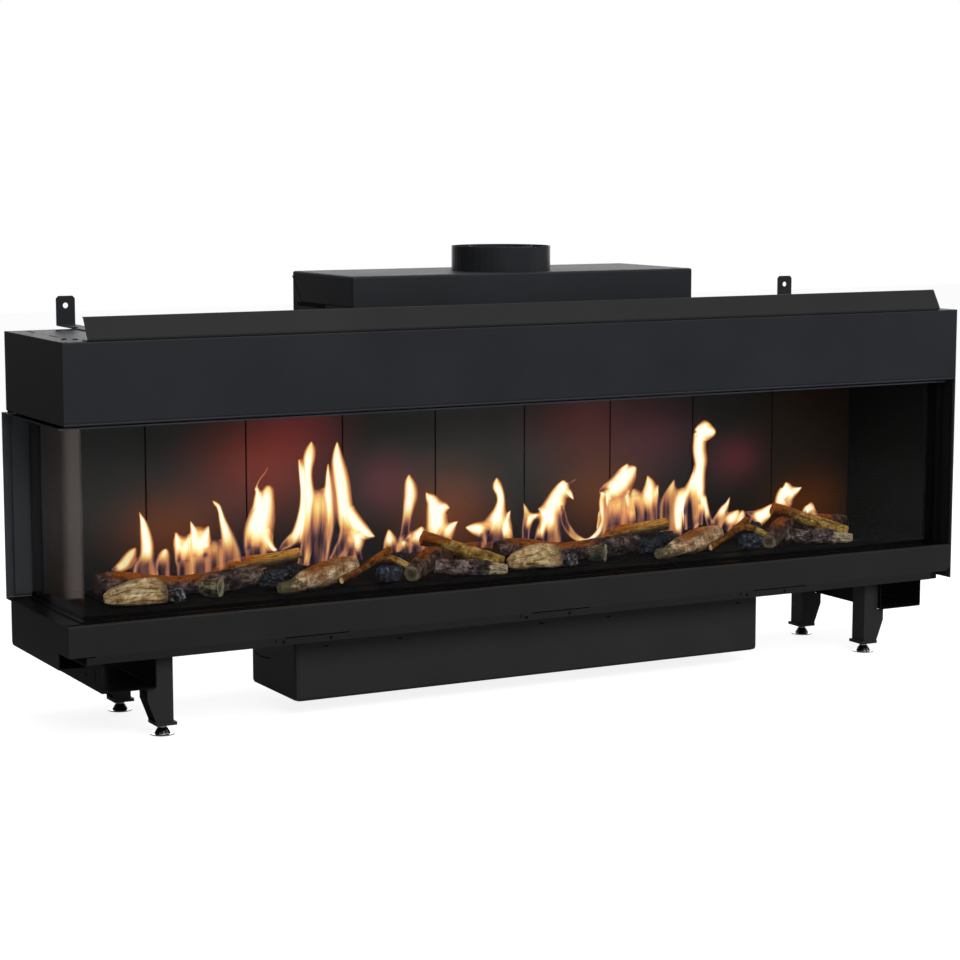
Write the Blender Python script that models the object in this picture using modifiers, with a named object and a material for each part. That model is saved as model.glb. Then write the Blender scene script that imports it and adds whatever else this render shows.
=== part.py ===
"""Built-in gas firebox with glass on its front and left side, a log burner and a balanced flue.

The frame is +Z up, metres. The origin is under the middle of the whole object, on the floor.
-Y is the front, -X the glazed side. Sheet parts are open surfaces folded at their bends and
then thickened, flat parts are filled outlines, and round parts are turned profiles.
"""

import math

import bmesh
import bpy
from mathutils import Matrix, Vector

# overall sizes
WIDTH = 2.000
OVERALL_DEPTH = 0.424
CASING_DEPTH = 0.3334
CHAMBER_DEPTH = 0.363

# common sheet and fitting values
SHEET = 0.002
THIN_SHEET = 0.0015
GAP = 0.0003
BEND = 0.0025
OVERRUN = 0.010
MERGE_LIMIT = 0.00002

# hood, the upper casing
HOOD_BOTTOM = 0.5855
HOOD_HEIGHT = 0.150
HOOD_HEM = 0.012
HOOD_RETURN = 0.024
HOOD_LIP = 0.008
TOP_SLOT_LENGTH = 0.052
TOP_SLOT_WIDTH = 0.006
TOP_SLOT_INSET = 0.037
TOP_SLOT_CENTRES = (0.156, 0.288)

# sloped flange that the chimney breast board meets
FLANGE_INSET = 0.047
FLANGE_SETBACK = 0.0005
FLANGE_LEAN = 0.0225
FLANGE_STEP = 0.005
FLANGE_RISE = 0.0425
FLANGE_FOOT = 0.030
FLANGE_TIP = 0.004

# skirt, the lower casing
SKIRT_TOP = 0.2262
SKIRT_FOLD = 0.1685
SKIRT_HEM = 0.010
SKIRT_SIDE_BOTTOM = 0.1359
SKIRT_SIDE_FLANGE = 0.052
SKIRT_NOTCH_DEPTH = 0.0608
SKIRT_CORNER_RADIUS = 0.010
LIP_BOTTOM = 0.153
LIP_LEAN = 0.003
LIP_INSET_LEFT = 0.0334
LIP_INSET_RIGHT = 0.0536
LIP_END_SLOT = 0.016
LIP_CHAMFER = 0.010
RELIEF_SLOT_LENGTH = 0.132
RELIEF_SLOT_HEIGHT = 0.0022
RELIEF_SLOT_STARTS = (0.4219, 0.9527, 1.4820)

# frames round the glazed opening
HEAD_FRAME_BOTTOM = 0.5773
HEAD_FRAME_THICKNESS = 0.0028
FRAME_SETBACK = 0.030
SILL_TOP = 0.2239
SILL_THICKNESS = 0.0028
SILL_BAR = 0.075

# glass
GLASS_THICKNESS = 0.004
GLASS_SETBACK = 0.043
GLASS_TOP = 0.592
GLASS_RIGHT_INSET = 0.030
GLASS_EDGE_BEVEL = 0.0006
GLASS_PLAY = 0.0005
SIDE_GLASS_REAR = 0.3185
RETAINER_SETBACK = 0.036
RETAINER_THICKNESS = 0.002

# firebox
DECK_TOP = 0.232
DECK_SETBACK = 0.057
DECK_CORNER = 0.004
CHAMBER_INSET_LEFT = 0.049
LINING_SETBACK = 0.316
LINING_DEPTH = 0.0065
LINING_INSET_LEFT = 0.0585
LINING_INSET_RIGHT = 0.044
LINING_BAYS = 9
GROOVE_WIDTH = 0.004
GROOVE_DEPTH = 0.003
LINER_FLANGE = 0.010
POST_INSET = 0.0155
POST_WIDTH = 0.033
POST_SETBACK = 0.352
POST_LIFT = 0.005
STILE_WIDTH = 0.008
STILE_DEPTH = 0.036
STILE_RETURN = 0.020
BACK_FLANGE = 0.014

# smoke collector over the firebox
COLLECTOR_INSET = 0.038
COLLECTOR_REAR = 0.3245
COLLECTOR_INSET_RIGHT = 0.016
COLLECTOR_RIM = 0.006
COLLECTOR_TOP = 0.622
COLLECTOR_CORNER = 0.006

# relief flaps on the collector
FLAP_LENGTH = 0.200
FLAP_DEPTH = 0.112
FLAP_OPENING_MARGIN = 0.012
FLAP_OFFSET = 0.550
FLAP_SETBACK = 0.130
FLAP_CURL = 0.0036
FLAP_PIN = 0.0018
FLAP_EAR = 0.0025
FLAP_EAR_HEIGHT = 0.011

# flue
FLUE_SETBACK = 0.2154
FLUE_RADIUS = 0.100
INNER_FLUE_RADIUS = 0.065
FLUE_WALL = 0.0015
FLUE_RISE = 0.0492
FLUE_DIP = 0.018
FLUE_BEAD = 0.0012
FLUE_FLANGE = 0.016
FLUE_FACETS = 48
FLUE_BOX_LEFT = 0.6133
FLUE_BOX_FRONT = 0.1005
FLUE_BOX_REAR = 0.3816
FLUE_BOX_RISE = 0.0977
FLUE_BOX_EDGE = 0.004
FLUE_PASSAGE_RADIUS = 0.090
FLUE_HOLE_PLAY = 0.0008

# wall brackets
BRACKET_INSET = 0.1324
BRACKET_WIDTH = 0.038
BRACKET_RISE = 0.058
BRACKET_LAP = 0.0744
BRACKET_HOLE_DROP = 0.0187
BRACKET_HOLE_RADIUS = 0.0055
BRACKET_CORNER = 0.005

# base tray
BASE_INSET = 0.0334
BASE_SETBACK = 0.0054
BASE_CORNER = 0.004
BASE_WINDOW_LENGTH = 0.900
BASE_WINDOW_DEPTH = 0.150

# duct rails under the base
RAIL_INSET = 0.0651
RAIL_WIDTH = 0.1079
RAIL_BOTTOM = 0.0935
RAIL_SETBACK = 0.0212
RAIL_CORNER = 0.004

# legs and their feet
LEG_SHEET = 0.0025
LEG_WIDTH = 0.0503
LEG_STEP = 0.0353
LEG_SETBACK = 0.030
LEG_DEPTH = 0.042
LEG_PITCH = 0.2251
LEG_KNEE = 0.0693
LEG_ANKLE_WIDTH = 0.0336
FOOT_PLATE_BOTTOM = 0.0195
FOOT_PLATE_THICKNESS = 0.006
FOOT_PLATE_OVERHANG = 0.006
FOOT_PLATE_LAP = 0.002
FOOT_LAP = 0.0146
FOOT_DISC_RADIUS = 0.0228
FOOT_DISC_THICKNESS = 0.002
FOOT_CONE_RADIUS = 0.0155
FOOT_CONE_TOP_RADIUS = 0.0082
FOOT_CONE_TOP = 0.0135
FOOT_NUT_RADIUS = 0.0075
STUD_RADIUS = 0.005
STUD_TOP = 0.068
STUD_CHAMFER = 0.001
FOOT_FACETS = 24

# control box
CONTROL_LEFT = 0.4682
CONTROL_FRONT = 0.0578
CONTROL_REAR = 0.2728
CONTROL_BOTTOM = 0.0276
CONTROL_EDGE = 0.006
CONTROL_RIM = 0.012

# gas train inside the control box
VALVE_OFFSET = -0.200
VALVE_SIZE = (0.094, 0.060, 0.052)
VALVE_BASE_LIFT = 0.006
VALVE_PORT_RADIUS = 0.0125
VALVE_PORT_LENGTH = 0.016
VALVE_PORT_SHIFT = 0.018
VALVE_EDGE = 0.002
KNOB_RADIUS = 0.017
KNOB_LENGTH = 0.014
KNOB_SKIRT_RADIUS = 0.021
KNOB_SKIRT_LENGTH = 0.003
KNOB_GRIP = 0.006
KNOB_FACETS = 24
RECEIVER_OFFSET = 0.240
RECEIVER_SIZE = (0.150, 0.075, 0.034)
RECEIVER_EDGE = 0.003
AERIAL_RADIUS = 0.003
AERIAL_LENGTH = 0.030
PIPE_RADIUS = 0.006
PIPE_SHIFT = 0.060
PIPE_BENDS = 10

# burner in the deck
BURNER_INSET = 0.130
BURNER_DEPTH = 0.150
BURNER_SETBACK = 0.185
BURNER_DROP = 0.022
BURNER_RIM = 0.008
BURNER_CORNER = 0.006
BURNER_PLATE_THICKNESS = 0.002
BURNER_PLATE_MARGIN = 0.0035
BURNER_PORTS = 12
PORT_LENGTH = 0.070
PORT_WIDTH = 0.006
PILOT_OFFSET = -0.340
PILOT_SHIFT = 0.040
PILOT_RADIUS = 0.005
PILOT_HEIGHT = 0.032
PILOT_HOOD_RADIUS = 0.009
PILOT_HOOD_HEIGHT = 0.008
PILOT_BASE_SIZE = (0.050, 0.018, 0.004)

# places worked out from the sizes above
LEFT = -WIDTH / 2
RIGHT = WIDTH / 2
FRONT = -OVERALL_DEPTH / 2
BACKMOST = OVERALL_DEPTH / 2
REAR = FRONT + CASING_DEPTH
CHAMBER_REAR = FRONT + CHAMBER_DEPTH
CASING_RIGHT = RIGHT - SHEET - GAP
HOOD_TOP = HOOD_BOTTOM + HOOD_HEIGHT
FLUE_BOX_TOP = HOOD_TOP + FLUE_BOX_RISE
BRACKET_TOP = HOOD_TOP + BRACKET_RISE
SILL_BOTTOM = SILL_TOP - SILL_THICKNESS
HEAD_FRAME_TOP = HEAD_FRAME_BOTTOM + HEAD_FRAME_THICKNESS
LINER_TOP = HEAD_FRAME_BOTTOM - GAP - SHEET - GAP
LINING_RIGHT = RIGHT - LINING_INSET_RIGHT
LINING_LEFT = LEFT + LINING_INSET_LEFT
LINING_FRONT = FRONT + LINING_SETBACK
GLASS_FRONT = FRONT + GLASS_SETBACK
GLASS_LEFT = LEFT + GLASS_SETBACK
FLUE_CENTRE = (0.0, FRONT + FLUE_SETBACK)
BURNER_CENTRE = (0.0, FRONT + BURNER_SETBACK)
BURNER_LENGTH = WIDTH - 2 * BURNER_INSET
FLUE_TOP = FLUE_BOX_TOP + FLUE_RISE
LEG_INNER = RAIL_INSET + RAIL_WIDTH + LEG_STEP
FOOT_INSET = LEG_INNER - FOOT_LAP
CONTROL_HALF = -(LEFT + CONTROL_LEFT)
CONTROL_MIDDLE = FRONT + (CONTROL_FRONT + CONTROL_REAR) / 2
CONTROL_FLOOR = CONTROL_BOTTOM + SHEET
BASE_TOP = SILL_BOTTOM - GAP
PIPE_TOP = DECK_TOP - BURNER_DROP - GAP

# colour, roughness and metallic value of each finish
FINISHES = {
    "powder_black": ((0.022, 0.023, 0.025), 0.55, 0.0),
    "soot_black": ((0.010, 0.010, 0.010), 0.70, 0.0),
    "foot_steel": ((0.62, 0.60, 0.58), 0.30, 1.0),
    "ceramic_glass": ((0.35, 0.32, 0.30), 0.05, 0.0),
    "burner_steel": ((0.12, 0.12, 0.12), 0.50, 1.0),
    "valve_alloy": ((0.55, 0.56, 0.58), 0.40, 1.0),
    "knob_plastic": ((0.08, 0.08, 0.09), 0.45, 0.0),
    "receiver_plastic": ((0.18, 0.18, 0.19), 0.50, 0.0),
    "copper_pipe": ((0.60, 0.36, 0.22), 0.35, 1.0),
    "log_ceramic": ((0.36, 0.25, 0.15), 0.85, 0.0),
}

# ceramic logs of one set: points along each log as a share of the whole width, setback from
# the front, height over the burner plate, and radius there
LOG_PITCH_SHARE = 0.4245
LOG_SIDES = 10
LOG_STEPS = 2
LOG_SHARES = {
    "bark": ((0.0575, 0.152, 0.025, 0.0215), (0.1000, 0.152, 0.026, 0.0245),
             (0.1450, 0.148, 0.022, 0.0225), (0.1800, 0.144, 0.022, 0.0220),
             (0.2185, 0.142, 0.028, 0.0200)),
    "split": ((0.0540, 0.098, 0.014, 0.0110), (0.0700, 0.096, 0.019, 0.0210),
              (0.1000, 0.092, 0.020, 0.0215), (0.1310, 0.090, 0.019, 0.0170)),
    "chunk": ((0.2180, 0.080, 0.011, 0.0130), (0.2450, 0.085, 0.015, 0.0200),
              (0.2800, 0.105, 0.020, 0.0220), (0.3110, 0.125, 0.028, 0.0180)),
    "branch": ((0.1625, 0.197, 0.006, 0.0110), (0.1950, 0.194, 0.040, 0.0120),
               (0.2250, 0.190, 0.053, 0.0125), (0.2675, 0.186, 0.058, 0.0120)),
    "crossed": ((0.3930, 0.156, 0.074, 0.0130), (0.4200, 0.132, 0.054, 0.0130),
                (0.4400, 0.104, 0.030, 0.0210), (0.4725, 0.074, 0.015, 0.0170)),
    "rear": ((0.4525, 0.222, 0.020, 0.0210), (0.4825, 0.222, 0.019, 0.0220),
             (0.5150, 0.220, 0.015, 0.0190)),
}
CROSSED_SHARES = ((0.3610, 0.085, 0.015, 0.0190), (0.3850, 0.120, 0.023, 0.0200),
                   (0.4150, 0.150, 0.044, 0.0170))


def collections():
    """Make the two collections, one for the parts and one for the cutters."""
    parts = bpy.data.collections.new("gas_firebox")
    cutters = bpy.data.collections.new("cutters")
    for collection in (parts, cutters):
        bpy.context.scene.collection.children.link(collection)
    return parts, cutters


def make_materials():
    """Make one Principled material for each finish."""
    made = {}
    for name, (colour, roughness, metallic) in FINISHES.items():
        material = bpy.data.materials.new(name)
        material.use_nodes = True
        shader = material.node_tree.nodes["Principled BSDF"]
        shader.inputs["Base Color"].default_value = (*colour, 1.0)
        shader.inputs["Roughness"].default_value = roughness
        shader.inputs["Metallic"].default_value = metallic
        made[name] = material
    return made


def add_object(name, mesh, finish):
    """Link a mesh as a part with its finish."""
    thing = bpy.data.objects.new(name, mesh)
    PARTS.objects.link(thing)
    mesh.materials.append(MATERIALS[finish])
    return thing


def add_cutter(mesh):
    """Link a mesh as a cutter, which is drawn as wire and never rendered."""
    thing = bpy.data.objects.new("cutter", mesh)
    CUTTERS.objects.link(thing)
    thing.hide_render = True
    thing.display_type = "WIRE"
    return thing


def boolean(target, tool, operation="DIFFERENCE"):
    """Cut a tool from a part, or join it on."""
    step = target.modifiers.new("cut", "BOOLEAN")
    step.operation = operation
    step.object = tool
    return target


def bevel(thing, width, segments=2, limit=math.radians(40)):
    """Round the sharp edges of a part."""
    step = thing.modifiers.new("rounding", "BEVEL")
    step.width = width
    step.segments = segments
    step.limit_method = "ANGLE"
    step.angle_limit = limit
    return thing


def solidify(thing, sheet):
    """Give an open surface its sheet thickness, behind its faces."""
    step = thing.modifiers.new("sheet", "SOLIDIFY")
    step.thickness = sheet
    step.offset = -1.0
    step.use_even_offset = True
    step.use_quality_normals = True
    return thing


def box_mesh(low, high):
    """A box between two corners."""
    bm = bmesh.new()
    bmesh.ops.create_cube(bm, size=1.0)
    middle = [(a + b) / 2 for a, b in zip(low, high)]
    size = [b - a for a, b in zip(low, high)]
    bmesh.ops.scale(bm, vec=size, verts=bm.verts)
    bmesh.ops.translate(bm, vec=middle, verts=bm.verts)
    return finish_mesh(bm, "box")


def cylinder_mesh(centre, radius, start, stop, axis="Z", facets=24, top_radius=None):
    """A cylinder or cone along one axis; centre holds the two other coordinates in order."""
    bm = bmesh.new()
    end_radius = radius if top_radius is None else top_radius
    bmesh.ops.create_cone(bm, cap_ends=True, segments=facets, radius1=radius,
                          radius2=end_radius, depth=stop - start)
    middle = (start + stop) / 2
    for vert in bm.verts:
        x, y, z = vert.co
        if axis == "Z":
            vert.co = (x + centre[0], y + centre[1], z + middle)
        elif axis == "Y":
            vert.co = (y + centre[0], z + middle, x + centre[1])
        else:
            vert.co = (z + middle, x + centre[0], y + centre[1])
    return finish_mesh(bm, "cylinder")


def finish_mesh(bm, name):
    """Turn a bmesh into a mesh and free it."""
    mesh = bpy.data.meshes.new(name)
    bm.to_mesh(mesh)
    bm.free()
    return mesh


def smooth(mesh, angle=math.radians(35)):
    """Shade a round mesh smooth, keeping its sharp edges."""
    mesh.shade_smooth()
    mesh.set_sharp_from_angle(angle=angle)
    return mesh


def rounded(points, radius, steps=2, closed=False):
    """Replace each corner of a 2D path with an arc, as a press brake leaves it."""
    result = []
    count = len(points)
    for index, point in enumerate(points):
        if not closed and index in (0, count - 1):
            result.append(point)
            continue
        here = Vector(point)
        before = Vector(points[index - 1])
        after = Vector(points[(index + 1) % count])
        into = (before - here).normalized()
        out = (after - here).normalized()
        half = into.angle(out) / 2
        reach = radius / math.tan(half)
        reach = min(reach, (before - here).length / 2, (after - here).length / 2)
        start = here + into * reach
        stop = here + out * reach
        for step in range(steps + 1):
            share = step / steps
            blend = start.lerp(here, share).lerp(here.lerp(stop, share), share)
            result.append(tuple(blend))
    return result


def folded(name, axis, profile, start, stop, finish, sheet=SHEET, bend=BEND, closed=False):
    """A sheet folded along one axis.

    The profile is the skin, in the plane of the two other axes taken in order, and the sheet
    lies on the left of its direction of travel. A bend of zero keeps the corners sharp.
    """
    path = rounded(profile, bend, closed=closed) if bend else list(profile)
    bm = bmesh.new()
    rows = []
    for place in (start, stop):
        row = []
        for u, v in path:
            spot = {"X": (place, u, v), "Y": (u, place, v), "Z": (u, v, place)}[axis]
            row.append(bm.verts.new(spot))
        rows.append(row)
    spans = len(path) if closed else len(path) - 1
    for index in range(spans):
        follow = (index + 1) % len(path)
        corners = [rows[0][index], rows[0][follow], rows[1][follow], rows[1][index]]
        if axis == "Y":
            corners.reverse()
        bm.faces.new(corners)
    return solidify(add_object(name, finish_mesh(bm, name), finish), sheet)


def flat_mesh(outlines, thickness, plane="XY", at=0.0):
    """A flat plate from filled outlines; the ones inside the first are holes.

    at is the middle of its thickness, along the axis that the plane leaves out.
    """
    data = bpy.data.curves.new("outline", "CURVE")
    data.dimensions = "2D"
    data.fill_mode = "BOTH"
    data.extrude = thickness / 2
    for outline in outlines:
        spline = data.splines.new("POLY")
        spline.points.add(len(outline) - 1)
        for point, (u, v) in zip(spline.points, outline):
            point.co = (u, v, 0.0, 1.0)
        spline.use_cyclic_u = True
    holder = bpy.data.objects.new("outline", data)
    CUTTERS.objects.link(holder)
    bpy.context.view_layer.update()
    ready = holder.evaluated_get(bpy.context.evaluated_depsgraph_get())
    mesh = bpy.data.meshes.new_from_object(ready)
    bpy.data.objects.remove(holder)
    bpy.data.curves.remove(data)
    bm = bmesh.new()
    bm.from_mesh(mesh)
    bpy.data.meshes.remove(mesh)
    bmesh.ops.remove_doubles(bm, verts=bm.verts, dist=MERGE_LIMIT)
    for vert in bm.verts:
        u, v, w = vert.co
        if plane == "XY":
            vert.co = (u, v, w + at)
        elif plane == "XZ":
            vert.co = (u, at - w, v)
        else:
            vert.co = (w + at, u, v)
    bmesh.ops.recalc_face_normals(bm, faces=bm.faces)
    return finish_mesh(bm, "plate")


def rectangle(x0, x1, y0, y1):
    """The four corners of a rectangle, anticlockwise."""
    return [(x0, y0), (x1, y0), (x1, y1), (x0, y1)]


def circle(centre, radius, facets):
    """Points round a circle."""
    turns = [2 * math.pi * index / facets for index in range(facets)]
    return [(centre[0] + radius * math.cos(t), centre[1] + radius * math.sin(t)) for t in turns]


def slot(centre, length, width, along="X", steps=4):
    """Points round a slot with round ends."""
    points = []
    for end in (1, -1):
        for step in range(steps + 1):
            turn = math.pi * (step / steps - 0.5)
            far = end * ((length - width) / 2 + width / 2 * math.cos(turn))
            near = end * width / 2 * math.sin(turn)
            shift = (far, near) if along == "X" else (-near, far)
            points.append((centre[0] + shift[0], centre[1] + shift[1]))
    return points


def rounded_rectangle(centre, half_x, half_y, radius, steps=2):
    """A rectangle whose corners are arcs, anticlockwise."""
    corners = rectangle(centre[0] - half_x, centre[0] + half_x,
                        centre[1] - half_y, centre[1] + half_y)
    return rounded(corners, radius, steps=steps, closed=True)


def pan(name, centre, rings, corner, finish, sheet=SHEET):
    """A pressed pan: rounded rectangles (half length, half depth, height) joined by walls.

    The last ring is closed with a flat face. The rings run so that the skin faces out.
    """
    bm = bmesh.new()
    rows = []
    for half_x, half_y, height in rings:
        outline = rounded_rectangle(centre, half_x, half_y, corner)
        rows.append([bm.verts.new((u, v, height)) for u, v in outline])
    upward = rings[-1][2] > rings[0][2]
    for lower, upper in zip(rows, rows[1:]):
        for index in range(len(lower)):
            follow = (index + 1) % len(lower)
            corners = [lower[index], lower[follow], upper[follow], upper[index]]
            if not upward:
                corners.reverse()
            bm.faces.new(corners)
    cap = list(rows[-1])
    if not upward:
        cap.reverse()
    bm.faces.new(cap)
    return solidify(add_object(name, finish_mesh(bm, name), finish), sheet)


def turned(name, profile, centre, finish, facets, closed=False):
    """A turned part: a profile of (radius, height), from top to bottom, with a Screw modifier."""
    bm = bmesh.new()
    verts = [bm.verts.new((radius, 0.0, height)) for radius, height in profile]
    for first, second in zip(verts, verts[1:]):
        bm.edges.new((first, second))
    if closed:
        bm.edges.new((verts[-1], verts[0]))
    thing = add_object(name, finish_mesh(bm, name), finish)
    thing.location = (centre[0], centre[1], 0.0)
    step = thing.modifiers.new("turning", "SCREW")
    step.steps = facets
    step.render_steps = facets
    step.use_merge_vertices = True
    step.merge_threshold = MERGE_LIMIT
    step.use_smooth_shade = True
    return thing


def hood():
    """The upper casing: front panel, side panel, top plate and rear panel."""
    front_path = [(FRONT + HOOD_HEM, HOOD_TOP), (FRONT, HOOD_TOP), (FRONT, HOOD_BOTTOM),
                  (FRONT + HOOD_RETURN, HOOD_BOTTOM),
                  (FRONT + HOOD_RETURN, HOOD_BOTTOM + HOOD_LIP)]
    panel = folded("hood_front_panel", "X", front_path, LEFT, CASING_RIGHT, "powder_black")
    clear = box_mesh((LEFT - OVERRUN, FRONT + SHEET + GAP, HOOD_BOTTOM - OVERRUN),
                     (LEFT + SHEET + GAP, FRONT + HOOD_RETURN + OVERRUN, HOOD_TOP + OVERRUN))
    boolean(panel, add_cutter(clear))
    side_path = [(LEFT, HOOD_TOP), (LEFT, HOOD_BOTTOM), (LEFT + HOOD_RETURN, HOOD_BOTTOM)]
    side = folded("hood_side_panel", "Y", side_path, FRONT + SHEET + GAP, REAR, "powder_black")
    for near, far in ((FRONT, FRONT + HOOD_RETURN + GAP), (REAR - SHEET - GAP, REAR + OVERRUN)):
        room = box_mesh((LEFT + SHEET, near, HOOD_BOTTOM - OVERRUN),
                        (LEFT + HOOD_RETURN + OVERRUN, far, HOOD_BOTTOM + OVERRUN))
        boolean(side, add_cutter(room))
    top_outline = rectangle(LEFT + SHEET + GAP, CASING_RIGHT - GAP,
                            FRONT + HOOD_HEM + GAP, REAR)
    holes = [circle(FLUE_CENTRE, FLUE_PASSAGE_RADIUS, FLUE_FACETS // 2)]
    for along in TOP_SLOT_CENTRES:
        holes.append(slot((LEFT + TOP_SLOT_INSET, FRONT + along), TOP_SLOT_LENGTH,
                          TOP_SLOT_WIDTH, along="Y"))
    mesh = flat_mesh([top_outline, *holes], SHEET, at=HOOD_TOP - SHEET / 2)
    add_object("hood_top_plate", mesh, "powder_black")
    foot = HEAD_FRAME_TOP + GAP
    under = HOOD_TOP - SHEET - GAP
    rear_path = [(REAR, foot), (REAR, under), (REAR - BACK_FLANGE, under)]
    folded("hood_rear_panel", "X", rear_path, LEFT + SHEET + GAP, CASING_RIGHT - GAP,
           "powder_black")


def installation_flange():
    """The sloped flange along the hood's top front edge, folded with a foot and a tip."""
    foot = HOOD_TOP + GAP
    near = FRONT + FLANGE_SETBACK
    path = [(near + FLANGE_FOOT, foot), (near, foot), (near, foot + FLANGE_STEP),
            (near + FLANGE_LEAN, foot + FLANGE_RISE),
            (near + FLANGE_LEAN + FLANGE_TIP, foot + FLANGE_RISE)]
    path.reverse()
    folded("installation_flange", "X", path, LEFT + FLANGE_INSET, RIGHT - FLANGE_INSET,
           "powder_black", sheet=THIN_SHEET)


def skirt():
    """The lower casing: front panel with its fold-down lip, and the deeper side panel."""
    front_path = [(FRONT + SKIRT_HEM, SKIRT_TOP), (FRONT, SKIRT_TOP), (FRONT, SKIRT_FOLD),
                  (FRONT + LIP_LEAN, LIP_BOTTOM)]
    panel = folded("skirt_front_panel", "X", front_path, LEFT, CASING_RIGHT, "powder_black",
                   bend=BEND)
    hem = box_mesh((LEFT - OVERRUN, FRONT + SHEET + GAP, SKIRT_FOLD),
                   (LEFT + SHEET + GAP, FRONT + SKIRT_HEM + OVERRUN, SKIRT_TOP + OVERRUN))
    boolean(panel, add_cutter(hem))
    below = LIP_BOTTOM - OVERRUN
    lip_left = LEFT + LIP_INSET_LEFT
    lip_right = RIGHT - LIP_INSET_RIGHT
    left_cut = rectangle(LEFT - OVERRUN, lip_left, below, SKIRT_FOLD)
    right_cut = [(lip_right, below), (RIGHT + OVERRUN, below),
                 (RIGHT + OVERRUN, SKIRT_FOLD + LIP_CHAMFER), (CASING_RIGHT, SKIRT_FOLD + LIP_CHAMFER),
                 (CASING_RIGHT - LIP_CHAMFER, SKIRT_FOLD), (lip_right, SKIRT_FOLD)]
    for outline in (left_cut, right_cut):
        boolean(panel, add_cutter(flat_mesh([outline], 2 * OVERRUN, "XZ", FRONT)))
    slots = [(LEFT + start, LEFT + start + RELIEF_SLOT_LENGTH) for start in RELIEF_SLOT_STARTS]
    slots.append((lip_left - LIP_END_SLOT, lip_left + LIP_END_SLOT))
    for start, stop in slots:
        window = box_mesh((start, FRONT - OVERRUN, SKIRT_FOLD - RELIEF_SLOT_HEIGHT),
                          (stop, FRONT + SHEET + LIP_LEAN, SKIRT_FOLD))
        boolean(panel, add_cutter(window))
    side_path = [(LEFT, SKIRT_TOP), (LEFT, SKIRT_SIDE_BOTTOM),
                 (LEFT + SKIRT_SIDE_FLANGE, SKIRT_SIDE_BOTTOM)]
    side = folded("skirt_side_panel", "Y", side_path, FRONT + SHEET + GAP, REAR, "powder_black")
    ledge = box_mesh((LEFT - OVERRUN, FRONT + FRAME_SETBACK - GAP, BASE_TOP),
                     (LEFT + OVERRUN, REAR + OVERRUN, SKIRT_TOP + OVERRUN))
    boolean(side, add_cutter(ledge))
    notch = rectangle(FRONT - OVERRUN, FRONT + SKIRT_NOTCH_DEPTH,
                      SKIRT_SIDE_BOTTOM - OVERRUN, SKIRT_FOLD)
    corner = [(REAR + OVERRUN, SKIRT_SIDE_BOTTOM + SKIRT_CORNER_RADIUS)]
    for step in range(5):
        turn = math.pi / 2 * step / 4
        corner.append((REAR - SKIRT_CORNER_RADIUS * (1 - math.cos(turn)),
                       SKIRT_SIDE_BOTTOM + SKIRT_CORNER_RADIUS * (1 - math.sin(turn))))
    corner.append((REAR - SKIRT_CORNER_RADIUS, SKIRT_SIDE_BOTTOM - OVERRUN))
    corner.append((REAR + OVERRUN, SKIRT_SIDE_BOTTOM - OVERRUN))
    for outline in (notch, corner):
        tool = flat_mesh([outline], 2 * (SKIRT_SIDE_FLANGE + OVERRUN), "YZ", LEFT)
        boolean(side, add_cutter(tool))


def frames():
    """The head frame and the sill frame, flat rings above and below the glazed opening."""
    head = rectangle(LEFT, CASING_RIGHT, FRONT + FRAME_SETBACK, CHAMBER_REAR)
    opening = rectangle(GLASS_LEFT - GLASS_PLAY, CASING_RIGHT - GLASS_RIGHT_INSET + STILE_WIDTH,
                        GLASS_FRONT - GLASS_PLAY, LINING_FRONT + LINING_DEPTH / 2)
    mesh = flat_mesh([head, opening], HEAD_FRAME_THICKNESS,
                     at=HEAD_FRAME_BOTTOM + HEAD_FRAME_THICKNESS / 2)
    add_object("head_frame", mesh, "powder_black")
    sill = rectangle(LEFT, CASING_RIGHT, FRONT + FRAME_SETBACK, CHAMBER_REAR)
    middle = rectangle(LEFT + SILL_BAR, RIGHT - SILL_BAR, FRONT + SILL_BAR,
                       CHAMBER_REAR - SILL_BAR)
    mesh = flat_mesh([sill, middle], SILL_THICKNESS, at=SILL_TOP - SILL_THICKNESS / 2)
    add_object("sill_frame", mesh, "powder_black")


def right_end():
    """The closed right side and the stile that ends the front glass."""
    side = box_mesh((RIGHT - SHEET, FRONT, LIP_BOTTOM), (RIGHT, REAR, HOOD_TOP))
    add_object("right_casing_side", side, "powder_black")
    outer = CASING_RIGHT - GAP
    near = FRONT
    path = [(RIGHT - STILE_WIDTH, near), (outer, near), (outer, near + STILE_DEPTH),
            (outer - STILE_RETURN, near + STILE_DEPTH)]
    folded("right_stile", "Z", path, SKIRT_TOP + GAP, HEAD_FRAME_BOTTOM - GAP, "powder_black",
           sheet=THIN_SHEET, bend=0.0)


def side_post():
    """The hat-shaped post behind the side glass, standing just off the sill."""
    near = FRONT + POST_SETBACK
    rest = CHAMBER_REAR - SHEET - GAP
    start = LEFT + POST_INSET
    path = [(start, rest), (start, near), (start + POST_WIDTH, near), (start + POST_WIDTH, rest)]
    folded("side_post", "Z", path, SILL_TOP + POST_LIFT, LINER_TOP, "powder_black",
           sheet=THIN_SHEET, bend=0.0)


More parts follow.
